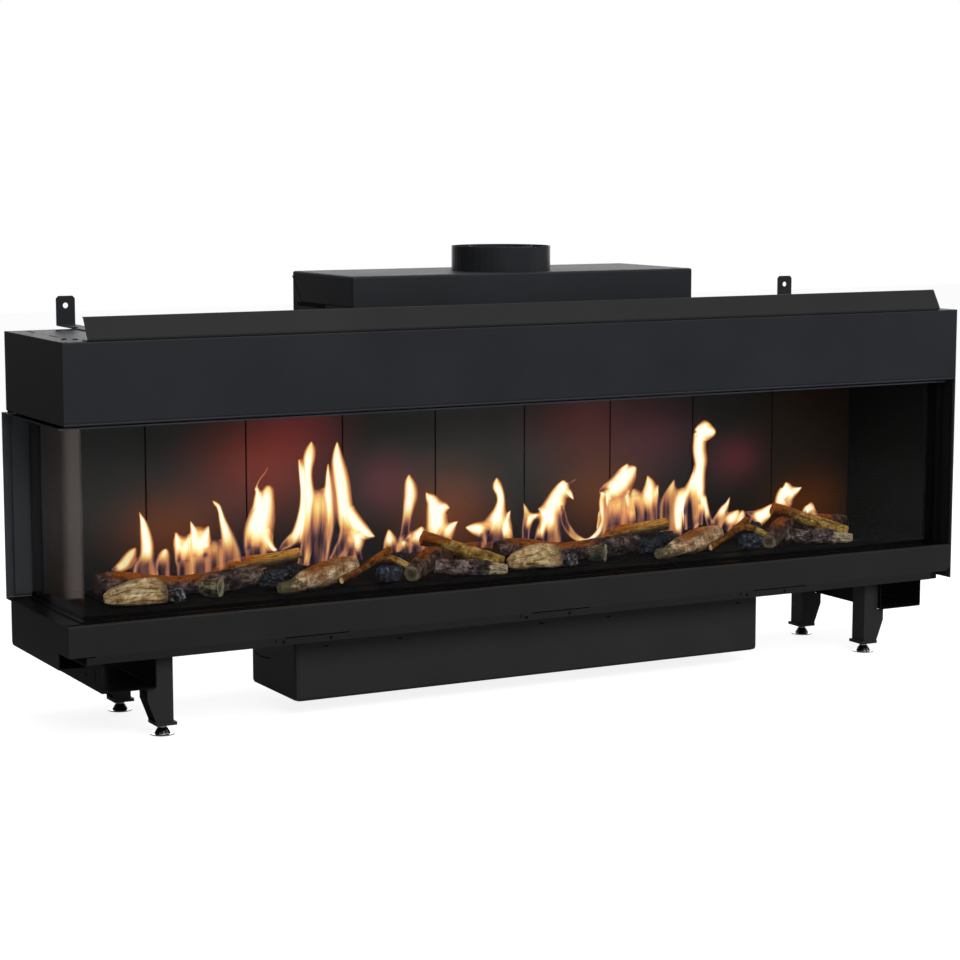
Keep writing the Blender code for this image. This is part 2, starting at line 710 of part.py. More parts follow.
def firebox():
    """Deck, back plate, linings and the smoke collector."""
    far = CHAMBER_REAR - SHEET - GAP
    x0 = LEFT + CHAMBER_INSET_LEFT
    x1 = RIGHT - LINING_INSET_RIGHT + LINER_FLANGE
    y0 = FRONT + DECK_SETBACK
    centre = ((x0 + x1) / 2, (y0 + far) / 2)
    half = ((x1 - x0) / 2, (far - y0) / 2)
    rings = [(*half, SILL_TOP + GAP), (*half, DECK_TOP)]
    deck = pan("firebox_deck", centre, rings, DECK_CORNER, "soot_black")
    hole = rounded_rectangle(BURNER_CENTRE, BURNER_LENGTH / 2, BURNER_DEPTH / 2, BURNER_CORNER)
    boolean(deck, add_cutter(flat_mesh([hole], 2 * OVERRUN, at=DECK_TOP)))

    foot = SILL_TOP + GAP
    head = HEAD_FRAME_BOTTOM - GAP
    back_path = [(CHAMBER_REAR - SHEET, foot), (CHAMBER_REAR, foot), (CHAMBER_REAR, head),
                 (CHAMBER_REAR - BACK_FLANGE, head)]
    folded("firebox_back", "X", back_path[1:], LEFT, CASING_RIGHT, "powder_black", bend=0.0)

    stand = DECK_TOP + GAP
    back_lining(stand)

    wall = LINING_RIGHT + GAP
    wall_path = [(wall, far), (wall, FRONT + CHAMBER_INSET_LEFT),
                 (wall + LINER_FLANGE - GAP, FRONT + CHAMBER_INSET_LEFT)]
    folded("right_liner", "Z", wall_path, stand, LINER_TOP, "soot_black", bend=0.0)


def back_lining(stand):
    """The ribbed lining behind the fire, with a pressed groove between its bays."""
    half = GROOVE_WIDTH / 2
    rest = LINING_FRONT + LINING_DEPTH
    deep = LINING_FRONT + GROOVE_DEPTH
    bay = (LINING_RIGHT - LINING_LEFT) / LINING_BAYS
    path = [(LINING_LEFT, rest), (LINING_LEFT, LINING_FRONT)]
    for index in range(1, LINING_BAYS):
        seam = LINING_LEFT + index * bay
        path += [(seam - half, LINING_FRONT), (seam, deep), (seam + half, LINING_FRONT)]
    path += [(LINING_RIGHT, LINING_FRONT), (LINING_RIGHT, rest)]
    folded("back_lining", "Z", path, stand, LINER_TOP, "soot_black", sheet=THIN_SHEET, bend=0.0)


def collector():
    """The smoke collector, a pan turned over on the head frame, with three outlets."""
    x0 = LEFT + COLLECTOR_INSET
    x1 = RIGHT - COLLECTOR_INSET_RIGHT
    y0 = FRONT + COLLECTOR_INSET
    y1 = FRONT + COLLECTOR_REAR
    centre = ((x0 + x1) / 2, (y0 + y1) / 2)
    half_x = (x1 - x0) / 2
    half_y = (y1 - y0) / 2
    foot = HEAD_FRAME_TOP + GAP + SHEET
    rings = [(half_x + COLLECTOR_RIM, half_y + COLLECTOR_RIM, foot), (half_x, half_y, foot),
             (half_x, half_y, COLLECTOR_TOP)]
    shell = pan("firebox_ceiling", centre, rings, COLLECTOR_CORNER, "soot_black")
    low = COLLECTOR_TOP - OVERRUN
    high = COLLECTOR_TOP + OVERRUN
    axis_y = FRONT + FLAP_SETBACK + FLAP_DEPTH
    axis_z = COLLECTOR_TOP + GAP + FLAP_CURL
    reach = FLAP_LENGTH / 2 + GAP + FLAP_EAR
    outlet = cylinder_mesh(FLUE_CENTRE, INNER_FLUE_RADIUS - FLUE_WALL, low, high,
                           facets=FLUE_FACETS)
    boolean(shell, add_cutter(outlet))
    for side in (-1, 1):
        middle = side * FLAP_OFFSET
        window = box_mesh((middle - FLAP_LENGTH / 2 + FLAP_OPENING_MARGIN,
                           FRONT + FLAP_SETBACK + FLAP_OPENING_MARGIN, low),
                          (middle + FLAP_LENGTH / 2 - FLAP_OPENING_MARGIN,
                           FRONT + FLAP_SETBACK + FLAP_DEPTH - FLAP_OPENING_MARGIN, high))
        boolean(shell, add_cutter(window))
        for end in (-1, 1):
            inner = middle + end * (FLAP_LENGTH / 2 + GAP)
            outer = middle + end * reach
            ear = box_mesh((min(inner, outer), axis_y - FLAP_CURL, COLLECTOR_TOP - SHEET / 2),
                           (max(inner, outer), axis_y + FLAP_CURL,
                            COLLECTOR_TOP + FLAP_EAR_HEIGHT))
            boolean(shell, add_cutter(ear), "UNION")
        pin = cylinder_mesh((axis_y, axis_z), FLAP_PIN, middle - reach + FLAP_EAR / 2,
                            middle + reach - FLAP_EAR / 2, axis="X", facets=12)
        boolean(shell, add_cutter(pin), "UNION")


def relief_flap(name, side):
    """A relief flap whose rear edge is rolled round its hinge pin."""
    lie = COLLECTOR_TOP + GAP
    middle = side * FLAP_OFFSET
    axis_y = FRONT + FLAP_SETBACK + FLAP_DEPTH
    axis_z = lie + FLAP_CURL
    path = [(FRONT + FLAP_SETBACK, lie), (axis_y, lie)]
    for step in range(1, 8):
        turn = -math.pi / 2 + step * math.radians(290) / 7
        path.append((axis_y + FLAP_CURL * math.cos(turn), axis_z + FLAP_CURL * math.sin(turn)))
    flap = folded(f"relief_flap_{name}", "X", path, middle - FLAP_LENGTH / 2,
                  middle + FLAP_LENGTH / 2, "burner_steel", sheet=THIN_SHEET, bend=0.0)
    flap.data.transform(Matrix.Translation((0.0, -axis_y, -axis_z)))
    flap.location = (0.0, axis_y, axis_z)


def flue():
    """The flue box, the outer collar and the inner flue pipe."""
    low = HOOD_TOP + GAP
    half = -(LEFT + FLUE_BOX_LEFT)
    body = box_mesh((-half, FRONT + FLUE_BOX_FRONT, low),
                    (half, FRONT + FLUE_BOX_REAR, FLUE_BOX_TOP))
    box = solidify(bevel(add_object("flue_box", body, "powder_black"), FLUE_BOX_EDGE), SHEET)
    lower = cylinder_mesh(FLUE_CENTRE, FLUE_PASSAGE_RADIUS, low - OVERRUN, low + OVERRUN,
                          facets=FLUE_FACETS)
    upper = cylinder_mesh(FLUE_CENTRE, FLUE_RADIUS + FLUE_HOLE_PLAY, FLUE_BOX_TOP - OVERRUN,
                          FLUE_BOX_TOP + OVERRUN, facets=FLUE_FACETS)
    for tool in (lower, upper):
        boolean(box, add_cutter(tool))

    inner = FLUE_RADIUS - FLUE_WALL
    seat = FLUE_BOX_TOP - FLUE_DIP
    bead = FLUE_TOP - 2 * FLUE_BEAD
    profile = [(inner, FLUE_TOP), (FLUE_RADIUS, FLUE_TOP), (FLUE_RADIUS, bead), (FLUE_RADIUS, seat),
               (inner, seat)]
    turned("outer_flue_collar", profile, FLUE_CENTRE, "powder_black", FLUE_FACETS, closed=True)

    inner = INNER_FLUE_RADIUS - FLUE_WALL
    foot = COLLECTOR_TOP + GAP
    rim = INNER_FLUE_RADIUS + FLUE_FLANGE
    profile = [(inner, FLUE_TOP), (INNER_FLUE_RADIUS, FLUE_TOP), (INNER_FLUE_RADIUS, foot + FLUE_WALL),
               (rim, foot + FLUE_WALL), (rim, foot), (inner, foot)]
    turned("inner_flue_pipe", profile, FLUE_CENTRE, "powder_black", FLUE_FACETS, closed=True)


def wall_bracket(name, side):
    """An angle bracket: its foot lies on the hood, its holed plate stands at the wall."""
    foot = HOOD_TOP + GAP
    centre = side * (-(LEFT + BRACKET_INSET) - BRACKET_WIDTH / 2)
    half = BRACKET_WIDTH / 2
    path = [(REAR - BRACKET_LAP, foot), (BACKMOST, foot), (BACKMOST, BRACKET_TOP)]
    bracket = folded(f"wall_bracket_{name}", "X", path, centre - half, centre + half,
                     "powder_black")
    hole = cylinder_mesh((centre, BRACKET_TOP - BRACKET_HOLE_DROP), BRACKET_HOLE_RADIUS,
                         BACKMOST - OVERRUN, BACKMOST + OVERRUN, axis="Y", facets=16)
    boolean(bracket, add_cutter(hole))
    for end in (-1, 1):
        edge = centre + end * half
        tip = [(edge - end * BRACKET_CORNER, BRACKET_TOP), (edge, BRACKET_TOP - BRACKET_CORNER),
               (edge + end * OVERRUN, BRACKET_TOP - BRACKET_CORNER),
               (edge + end * OVERRUN, BRACKET_TOP + OVERRUN),
               (edge - end * BRACKET_CORNER, BRACKET_TOP + OVERRUN)]
        boolean(bracket, add_cutter(flat_mesh([tip], 2 * OVERRUN, "XZ", BACKMOST)))


def base():
    """The base tray, whose walls carry the sill frame."""
    centre = (0.0, FRONT + (BASE_SETBACK + CASING_DEPTH - SHEET - GAP) / 2)
    half_x = WIDTH / 2 - BASE_INSET
    half_y = (CASING_DEPTH - SHEET - GAP - BASE_SETBACK) / 2
    rings = [(half_x, half_y, BASE_TOP), (half_x, half_y, LIP_BOTTOM)]
    tray = pan("base_tray", centre, rings, BASE_CORNER, "powder_black")
    window = box_mesh((-BASE_WINDOW_LENGTH / 2, CONTROL_MIDDLE - BASE_WINDOW_DEPTH / 2,
                       LIP_BOTTOM - OVERRUN),
                      (BASE_WINDOW_LENGTH / 2, CONTROL_MIDDLE + BASE_WINDOW_DEPTH / 2,
                       LIP_BOTTOM + OVERRUN))
    boolean(tray, add_cutter(window))


def duct_rail(name, side):
    """An open-ended rectangular duct under one end of the base."""
    outer = side * (-(LEFT + RAIL_INSET))
    inner = outer - side * RAIL_WIDTH
    x0, x1 = min(outer, inner), max(outer, inner)
    top = LIP_BOTTOM - GAP
    loop = [(x0, top), (x0, RAIL_BOTTOM), (x1, RAIL_BOTTOM), (x1, top)]
    folded(f"duct_rail_{name}", "Y", loop, FRONT + RAIL_SETBACK, REAR, "powder_black",
           bend=RAIL_CORNER, closed=True)


def leg(name, side, setback):
    """A channel leg, tapered at its ankle and notched round the rail, on a foot plate."""
    outer = side * (-(LEFT + LEG_INNER - LEG_WIDTH))
    inner = side * (-(LEFT + LEG_INNER))
    ankle = side * (-(LEFT + LEG_INNER - LEG_ANKLE_WIDTH))
    near = FRONT + setback
    far = near + LEG_DEPTH
    path = [(outer, near), (inner, near), (inner, far), (outer, far)]
    if side > 0:
        path.reverse()
    seat = FOOT_PLATE_BOTTOM + FOOT_PLATE_THICKNESS
    body = folded(f"leg_{name}", "Z", path, seat - FOOT_PLATE_THICKNESS / 2, LIP_BOTTOM - GAP,
                  "powder_black", sheet=LEG_SHEET, bend=0.0)
    rail_wall = side * (-(LEFT + RAIL_INSET) - RAIL_WIDTH) - side * GAP
    beyond = outer + side * OVERRUN
    notch = box_mesh((min(beyond, rail_wall), near - OVERRUN, RAIL_BOTTOM - GAP),
                     (max(beyond, rail_wall), far + OVERRUN, LIP_BOTTOM + OVERRUN))
    taper = [(outer, LEG_KNEE), (ankle, seat), (ankle, seat - FOOT_PLATE_THICKNESS),
             (beyond, seat - FOOT_PLATE_THICKNESS), (beyond, LEG_KNEE)]
    for tool in (notch, flat_mesh([taper], LEG_DEPTH + 2 * OVERRUN, "XZ", (near + far) / 2)):
        boolean(body, add_cutter(tool))
    ledge = inner - side * FOOT_PLATE_OVERHANG
    plate = box_mesh((min(ankle, ledge), near - FOOT_PLATE_LAP, FOOT_PLATE_BOTTOM),
                     (max(ankle, ledge), far + FOOT_PLATE_LAP, seat))
    boolean(body, add_cutter(plate), "UNION")
    centre = foot_centre(side, setback)
    hole = cylinder_mesh(centre, STUD_RADIUS + GAP, FOOT_PLATE_BOTTOM - OVERRUN, seat + OVERRUN,
                         facets=FOOT_FACETS)
    boolean(body, add_cutter(hole))


def foot_centre(side, setback):
    """The axis of a levelling foot, in the middle of its leg's depth."""
    return (side * (-(LEFT + FOOT_INSET)), FRONT + setback + LEG_DEPTH / 2)


def levelling_foot(name, side, setback):
    """A turned levelling foot: disc, cone, nut and stud."""
    nut_top = FOOT_PLATE_BOTTOM - GAP
    profile = [(0.0, STUD_TOP), (STUD_RADIUS - STUD_CHAMFER, STUD_TOP),
               (STUD_RADIUS, STUD_TOP - STUD_CHAMFER), (STUD_RADIUS, nut_top),
               (FOOT_NUT_RADIUS, nut_top), (FOOT_NUT_RADIUS, FOOT_CONE_TOP),
               (FOOT_CONE_TOP_RADIUS, FOOT_CONE_TOP), (FOOT_CONE_RADIUS, FOOT_DISC_THICKNESS),
               (FOOT_DISC_RADIUS, FOOT_DISC_THICKNESS), (FOOT_DISC_RADIUS, 0.0), (0.0, 0.0)]
    turned(f"levelling_foot_{name}", profile, foot_centre(side, setback), "foot_steel",
           FOOT_FACETS)


def control_box():
    """The hanging control box with its rim, and the hole for the gas inlet."""
    half_x = CONTROL_HALF
    half_y = (CONTROL_REAR - CONTROL_FRONT) / 2
    rim = LIP_BOTTOM - GAP - SHEET
    rings = [(half_x + CONTROL_RIM, half_y + CONTROL_RIM, rim), (half_x, half_y, rim),
             (half_x, half_y, CONTROL_BOTTOM + CONTROL_EDGE)]
    for step in (1, 2):
        turn = math.pi / 2 * step / 2
        inset = CONTROL_EDGE * (1 - math.cos(turn))
        rings.append((half_x - inset, half_y - inset,
                      CONTROL_BOTTOM + CONTROL_EDGE * (1 - math.sin(turn))))
    shell = pan("control_box", (0.0, CONTROL_MIDDLE), rings, CONTROL_EDGE + SHEET,
                "powder_black")
    back = CONTROL_MIDDLE + half_y
    hole = cylinder_mesh((VALVE_OFFSET, valve_port_height()), VALVE_PORT_RADIUS + GAP,
                         back - OVERRUN, back + OVERRUN, axis="Y", facets=16)
    boolean(shell, add_cutter(hole))


def valve_port_height():
    """The height of the gas valve's ports."""
    return CONTROL_FLOOR + GAP + VALVE_BASE_LIFT + VALVE_SIZE[2] / 2


def gas_train():
    """The gas valve with its ports, its knob, the receiver module and the supply pipe."""
    port = valve_port_height()
    half = [size / 2 for size in VALVE_SIZE]
    back = FRONT + CONTROL_REAR
    low = CONTROL_FLOOR + GAP
    block = box_mesh((VALVE_OFFSET - half[0], CONTROL_MIDDLE - half[1], low),
                     (VALVE_OFFSET + half[0], CONTROL_MIDDLE + half[1], port + half[2]))
    valve = bevel(add_object("gas_valve", block, "valve_alloy"), VALVE_EDGE, segments=1)
    inlet = cylinder_mesh((VALVE_OFFSET, port), VALVE_PORT_RADIUS, CONTROL_MIDDLE,
                          back + VALVE_PORT_LENGTH, axis="Y", facets=16)
    outlet = cylinder_mesh((VALVE_OFFSET + VALVE_PORT_SHIFT, CONTROL_MIDDLE), VALVE_PORT_RADIUS,
                           port, port + half[2] + VALVE_PORT_LENGTH, facets=16)
    face = CONTROL_MIDDLE - half[1]
    spindle = cylinder_mesh((VALVE_OFFSET, port), STUD_RADIUS, face - KNOB_SKIRT_LENGTH, face + GAP,
                            axis="Y", facets=16)
    for tool in (inlet, outlet, spindle):
        boolean(valve, add_cutter(tool), "UNION")

    grip_front = -KNOB_SKIRT_LENGTH - GAP - KNOB_SKIRT_LENGTH - KNOB_LENGTH
    knob_mesh = cylinder_mesh((0.0, 0.0), KNOB_SKIRT_RADIUS,
                              -KNOB_SKIRT_LENGTH - GAP - KNOB_SKIRT_LENGTH,
                              -KNOB_SKIRT_LENGTH - GAP, axis="Y", facets=KNOB_FACETS)
    knob = add_object("gas_valve_knob", knob_mesh, "knob_plastic")
    knob.location = (VALVE_OFFSET, face, port)
    grip = cylinder_mesh((VALVE_OFFSET, port), KNOB_RADIUS, face + grip_front,
                         face - KNOB_SKIRT_LENGTH - 2 * GAP - KNOB_SKIRT_LENGTH / 2, axis="Y",
                         facets=KNOB_FACETS)
    boolean(knob, add_cutter(grip), "UNION")
    for turn in (-1, 1):
        side = box_mesh((VALVE_OFFSET + turn * KNOB_GRIP - (KNOB_RADIUS if turn < 0 else 0.0),
                         face + grip_front - OVERRUN, port - KNOB_RADIUS - OVERRUN),
                        (VALVE_OFFSET + turn * KNOB_GRIP + (KNOB_RADIUS if turn > 0 else 0.0),
                         face - 2 * KNOB_SKIRT_LENGTH - 2 * GAP, port + KNOB_RADIUS + OVERRUN))
        boolean(knob, add_cutter(side))

    size = RECEIVER_SIZE
    body = box_mesh((RECEIVER_OFFSET - size[0] / 2, CONTROL_MIDDLE - size[1] / 2, low),
                    (RECEIVER_OFFSET + size[0] / 2, CONTROL_MIDDLE + size[1] / 2, low + size[2]))
    module = bevel(add_object("receiver_module", body, "receiver_plastic"), RECEIVER_EDGE)
    aerial = cylinder_mesh((RECEIVER_OFFSET + size[0] / 2 - 4 * AERIAL_RADIUS, CONTROL_MIDDLE),
                           AERIAL_RADIUS, low + size[2] / 2, low + size[2] + AERIAL_LENGTH, facets=12)
    boolean(module, add_cutter(aerial), "UNION")

    supply_pipe(port + half[2] + VALVE_PORT_LENGTH + GAP)


def supply_pipe(bottom):
    """The pipe from the valve's outlet up to the burner tray."""
    start = Vector((VALVE_OFFSET + VALVE_PORT_SHIFT, CONTROL_MIDDLE, bottom))
    stop = Vector((VALVE_OFFSET + PIPE_SHIFT, BURNER_CENTRE[1], PIPE_TOP))
    straight = Vector((0.0, 0.0, PIPE_RADIUS))
    rise = Vector((0.0, 0.0, (stop.z - start.z) / 3))
    points = [start + straight, start + rise, stop - rise, stop - straight]
    data = bpy.data.curves.new("burner_supply_pipe", "CURVE")
    data.dimensions = "3D"
    data.bevel_depth = PIPE_RADIUS
    data.bevel_resolution = 2
    data.use_fill_caps = True
    spline = data.splines.new("POLY")
    places = [start]
    for step in range(PIPE_BENDS + 1):
        share = step / PIPE_BENDS
        first = [a.lerp(b, share) for a, b in zip(points, points[1:])]
        second = [a.lerp(b, share) for a, b in zip(first, first[1:])]
        places.append(second[0].lerp(second[1], share))
    places.append(stop)
    spline.points.add(len(places) - 1)
    for point, place in zip(spline.points, places):
        point.co = (*place, 1.0)
    pipe = bpy.data.objects.new("burner_supply_pipe", data)
    data.materials.append(MATERIALS["copper_pipe"])
    PARTS.objects.link(pipe)


def burner():
    """The burner tray hung in the deck, its ported plate and the pilot."""
    half_x = BURNER_LENGTH / 2 - GAP
    half_y = BURNER_DEPTH / 2 - GAP
    rim = DECK_TOP + GAP
    floor = DECK_TOP - BURNER_DROP
    rings = [(half_x + BURNER_RIM, half_y + BURNER_RIM, rim), (half_x, half_y, rim),
             (half_x, half_y, floor)]
    pan("burner_tray", BURNER_CENTRE, rings, BURNER_CORNER, "burner_steel")

    plate_x = half_x + BURNER_RIM
    plate_y = half_y + BURNER_RIM
    outline = rectangle(-plate_x, plate_x, BURNER_CENTRE[1] - plate_y, BURNER_CENTRE[1] + plate_y)
    pitch = 2 * plate_x / BURNER_PORTS
    ports = []
    for index in range(BURNER_PORTS):
        middle = -plate_x + (index + 0.5) * pitch
        ports.append(slot((middle, BURNER_CENTRE[1]), PORT_LENGTH, PORT_WIDTH, steps=2))
    lie = rim + SHEET + GAP + BURNER_PLATE_THICKNESS / 2
    mesh = flat_mesh([outline, *ports], BURNER_PLATE_THICKNESS, at=lie)
    add_object("burner_plate", mesh, "burner_steel")

    top = lie + BURNER_PLATE_THICKNESS / 2 + GAP
    place = (PILOT_OFFSET, BURNER_CENTRE[1] + PILOT_SHIFT)
    size = PILOT_BASE_SIZE
    foot = box_mesh((place[0] - size[0] / 2, place[1] - size[1] / 2, top),
                    (place[0] + size[0] / 2, place[1] + size[1] / 2, top + size[2]))
    pilot = add_object("pilot_assembly", foot, "burner_steel")
    for shift in (-1, 1):
        centre = (place[0] + shift * 2 * PILOT_RADIUS, place[1])
        tube = cylinder_mesh(centre, PILOT_RADIUS if shift < 0 else PILOT_RADIUS / 2,
                             top + size[2] / 2, top + PILOT_HEIGHT, facets=12)
        boolean(pilot, add_cutter(tube), "UNION")
    cap = cylinder_mesh((place[0] - 2 * PILOT_RADIUS, place[1]), PILOT_HOOD_RADIUS,
                        top + PILOT_HEIGHT - GAP, top + PILOT_HEIGHT + PILOT_HOOD_HEIGHT,
                        facets=12, top_radius=PILOT_HOOD_RADIUS / 2)
    boolean(pilot, add_cutter(cap), "UNION")


def glass():
    """The two panes on the sill, and the flat retainer in front of them."""
    foot = SILL_TOP + GAP
    right = CASING_RIGHT - GLASS_RIGHT_INSET
    panes = {
        "front_glass": ((GLASS_LEFT, GLASS_FRONT, foot),
                        (right, GLASS_FRONT + GLASS_THICKNESS, GLASS_TOP)),
        "side_glass": ((GLASS_LEFT, GLASS_FRONT + GLASS_THICKNESS + GAP, foot),
                       (GLASS_LEFT + GLASS_THICKNESS, FRONT + SIDE_GLASS_REAR, GLASS_TOP)),
    }
    for name, (low, high) in panes.items():
        bevel(add_object(name, box_mesh(low, high), "ceramic_glass"), GLASS_EDGE_BEVEL, segments=1)
    near = FRONT + RETAINER_SETBACK
    edge = LEFT + RETAINER_SETBACK
    outline = [(edge, near), (right, near), (right, GLASS_FRONT - GAP),
               (GLASS_LEFT - GAP, GLASS_FRONT - GAP), (GLASS_LEFT - GAP, FRONT + SIDE_GLASS_REAR),
               (edge, FRONT + SIDE_GLASS_REAR)]
    mesh = flat_mesh([outline], RETAINER_THICKNESS, at=foot + RETAINER_THICKNESS / 2)
    add_object("glass_retainer", mesh, "powder_black")


def smooth_line(points, steps):
    """Fill in a curved line through points of any number of values."""
    count = len(points)
    result = []
    for index in range(count - 1):
        four = [points[max(index - 1, 0)], points[index], points[index + 1],
                points[min(index + 2, count - 1)]]
        for step in range(steps):
            share = step / steps
            result.append([curve_value(values, share) for values in zip(*four)])
    result.append(list(points[-1]))
    return result


def curve_value(values, share):
    """One value of a curve that passes through its two middle values."""
    before, here, follow, after = values
    slope = (follow - before) / 2
    bend = before - 2.5 * here + 2 * follow - after / 2
    twist = (after - before) / 2 + 1.5 * (here - follow)
    return here + share * (slope + share * (bend + share * twist))


def log_mesh(points, seat, phase):
    """A ceramic log: ridged rings along a bent line, flat where it lies on the burner."""
    line = smooth_line(points, LOG_STEPS)
    spots = [Vector((LEFT + x * WIDTH, FRONT + y, seat + z)) for x, y, z, radius in line]
    bm = bmesh.new()
    rows = []
    for index, spot in enumerate(spots):
        before = spots[max(index - 1, 0)]
        after = spots[min(index + 1, len(spots) - 1)]
        run = (after - before).normalized()
        across = run.cross(Vector((0.0, 0.0, 1.0))).normalized()
        up = across.cross(run).normalized()
        row = []
        for side in range(LOG_SIDES):
            turn = 2 * math.pi * side / LOG_SIDES
            reach = line[index][3] * (1 + 0.08 * math.sin(3 * turn + index + phase))
            place = spot + (across * math.cos(turn) + up * math.sin(turn)) * reach
            place.z = max(place.z, seat + GAP)
            row.append(bm.verts.new(place))
        rows.append(row)
    for near_row, far_row in zip(rows, rows[1:]):
        for side in range(LOG_SIDES):
            follow = (side + 1) % LOG_SIDES
            bm.faces.new((near_row[side], near_row[follow], far_row[follow], far_row[side]))
    bm.faces.new(list(reversed(rows[0])))
    bm.faces.new(rows[-1])
    bmesh.ops.recalc_face_normals(bm, faces=bm.faces)
    return smooth(finish_mesh(bm, "log"), math.radians(50))


def logs():
    """Two log sets, laid one after the other along the burner."""
    seat = DECK_TOP + 2 * GAP + SHEET + BURNER_PLATE_THICKNESS
    for row, side in enumerate(("left", "right")):
        shift = row * LOG_PITCH_SHARE
        for phase, (kind, points) in enumerate(LOG_SHARES.items()):
            moved = [(x + shift, *rest) for x, *rest in points]
            piece = add_object(f"log_{side}_{kind}", log_mesh(moved, seat, phase), "log_ceramic")
            if kind == "crossed":
                partner = [(x + shift, *rest) for x, *rest in CROSSED_SHARES]
                boolean(piece, add_cutter(log_mesh(partner, seat, phase)), "UNION")


def build():
    """Make the whole firebox."""
    hood()
    installation_flange()
    skirt()
    frames()
    right_end()
    side_post()
    firebox()
    collector()
    for name, side in (("left", -1), ("right", 1)):
        relief_flap(name, side)
        wall_bracket(name, side)
        duct_rail(name, side)
        for row, setback in (("front", LEG_SETBACK), ("rear", LEG_SETBACK + LEG_PITCH)):
            leg(f"{row}_{name}", side, setback)
            levelling_foot(f"{row}_{name}", side, setback)
    flue()
    base()
    control_box()
    gas_train()
    burner()
    glass()
    logs()


for old in list(bpy.data.objects):
    bpy.data.objects.remove(old)
PARTS, CUTTERS = collections()
MATERIALS = make_materials()
build()
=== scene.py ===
"""Looks of the gas firebox: finishes, ceramic logs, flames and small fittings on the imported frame."""
import math

import bmesh
import bpy
import numpy as np
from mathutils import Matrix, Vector, noise


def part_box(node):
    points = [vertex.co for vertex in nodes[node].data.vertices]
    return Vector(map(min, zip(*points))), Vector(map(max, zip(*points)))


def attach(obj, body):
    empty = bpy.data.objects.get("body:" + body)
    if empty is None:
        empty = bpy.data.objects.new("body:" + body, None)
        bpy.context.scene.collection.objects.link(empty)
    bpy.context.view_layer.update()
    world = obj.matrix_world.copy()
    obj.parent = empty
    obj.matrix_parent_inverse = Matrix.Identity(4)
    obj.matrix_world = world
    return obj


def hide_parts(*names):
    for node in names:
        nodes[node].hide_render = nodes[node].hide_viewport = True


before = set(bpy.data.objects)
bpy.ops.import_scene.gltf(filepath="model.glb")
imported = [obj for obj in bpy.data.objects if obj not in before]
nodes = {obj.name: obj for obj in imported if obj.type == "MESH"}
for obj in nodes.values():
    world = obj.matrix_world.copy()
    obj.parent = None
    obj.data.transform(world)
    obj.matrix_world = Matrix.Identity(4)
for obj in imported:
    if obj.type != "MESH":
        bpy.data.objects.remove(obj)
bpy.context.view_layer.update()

scene = bpy.context.scene

# faces of the solids that the looks line up with, in metres
LEFT = -1.0
RIGHT = 1.0
FRONT = -0.212
HOOD_TOP = 0.7355
HOOD_BOTTOM = 0.5855
BRACKET_TOP = HOOD_TOP + 0.0022
HEAD_FRAME_FRONT = FRONT + 0.030
LINING_FRONT = FRONT + 0.316
LINING_LEFT = LEFT + 0.0585
LINING_BAY = (RIGHT - 0.044 - LINING_LEFT) / 9
# heights over which the painted shade low on the lining eases off upwards
LINING_SHADE_LOW, LINING_SHADE_HIGH = 0.22, 0.60
FOOT_HEIGHT = 0.020
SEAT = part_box("burner_plate")[1].z + 0.0003
SEAT_GAP = 0.0002

# bent edges of the sheet parts, and how far painted highlight and shade reach from an edge
FOLD = 0.0014
EDGE_REACH = 0.020
STILE_REACH = 0.1

# small fittings
SCREW_RADIUS = 0.0042
SCREW_RISE = 0.0024
HOLE_SIDES = 18
LIP_HOLE = ((0.0030, 0.0), (0.0030, 0.0005), (0.0022, 0.0007))
RAIL_HOLE = ((0.0040, 0.0), (0.0040, 0.0005), (0.0032, 0.0007))
GROOVE_SINK = 0.0003
GROOVE_RISE = 0.0004

# steps of the logs and flames
LOG_STEP, LOG_SIDES = 0.0024, 56
TWIG_STEP, TWIG_SIDES = 0.003, 24
CAP_SCALES = (0.93, 0.70, 0.36)
FLAME_STEP = 0.0035
FLAME_ACROSS = 20
FLAME_JOIN = 330.0
FLAME_RIM = 0.0030

# the camera of the photograph
CAMERA_PLACE = (-2.3942, -4.3295, 1.0572)
CAMERA_TILT = -0.1311
CAMERA_TURN = -0.4963
CAMERA_LENS = 91.49

# directions of small fittings
UP = (0, 0, 1)
LEFTWARD = (-1, 0, 0)

# painted shade in seams and slots on faces that look left: node, width, then setback and height of each point
# in metres
GROOVES = {
    "flue_seam_back_shade": ("flue_box", 0.0016, ((0.3816, 0.8244), (0.3480, 0.7860), (0.335, 0.7744))),
    "flue_seam_low_shade": ("flue_box", 0.0014, ((0.335, 0.7734), (0.220, 0.7740), (0.101, 0.7748))),
    "flue_slot_shade": ("flue_box", 0.0080, ((0.3575, 0.7690), (0.300, 0.7694), (0.226, 0.7700))),
    "rail_slit_shade": ("duct_rail_left", 0.0022, ((0.051, 0.1084), (0.051, 0.120), (0.051, 0.1328))),
    "box_side_slot_shade": ("control_box", 0.0030, ((0.2235, 0.0961), (0.199, 0.0936), (0.1649, 0.0958),
                                              (0.1552, 0.0985))),
}

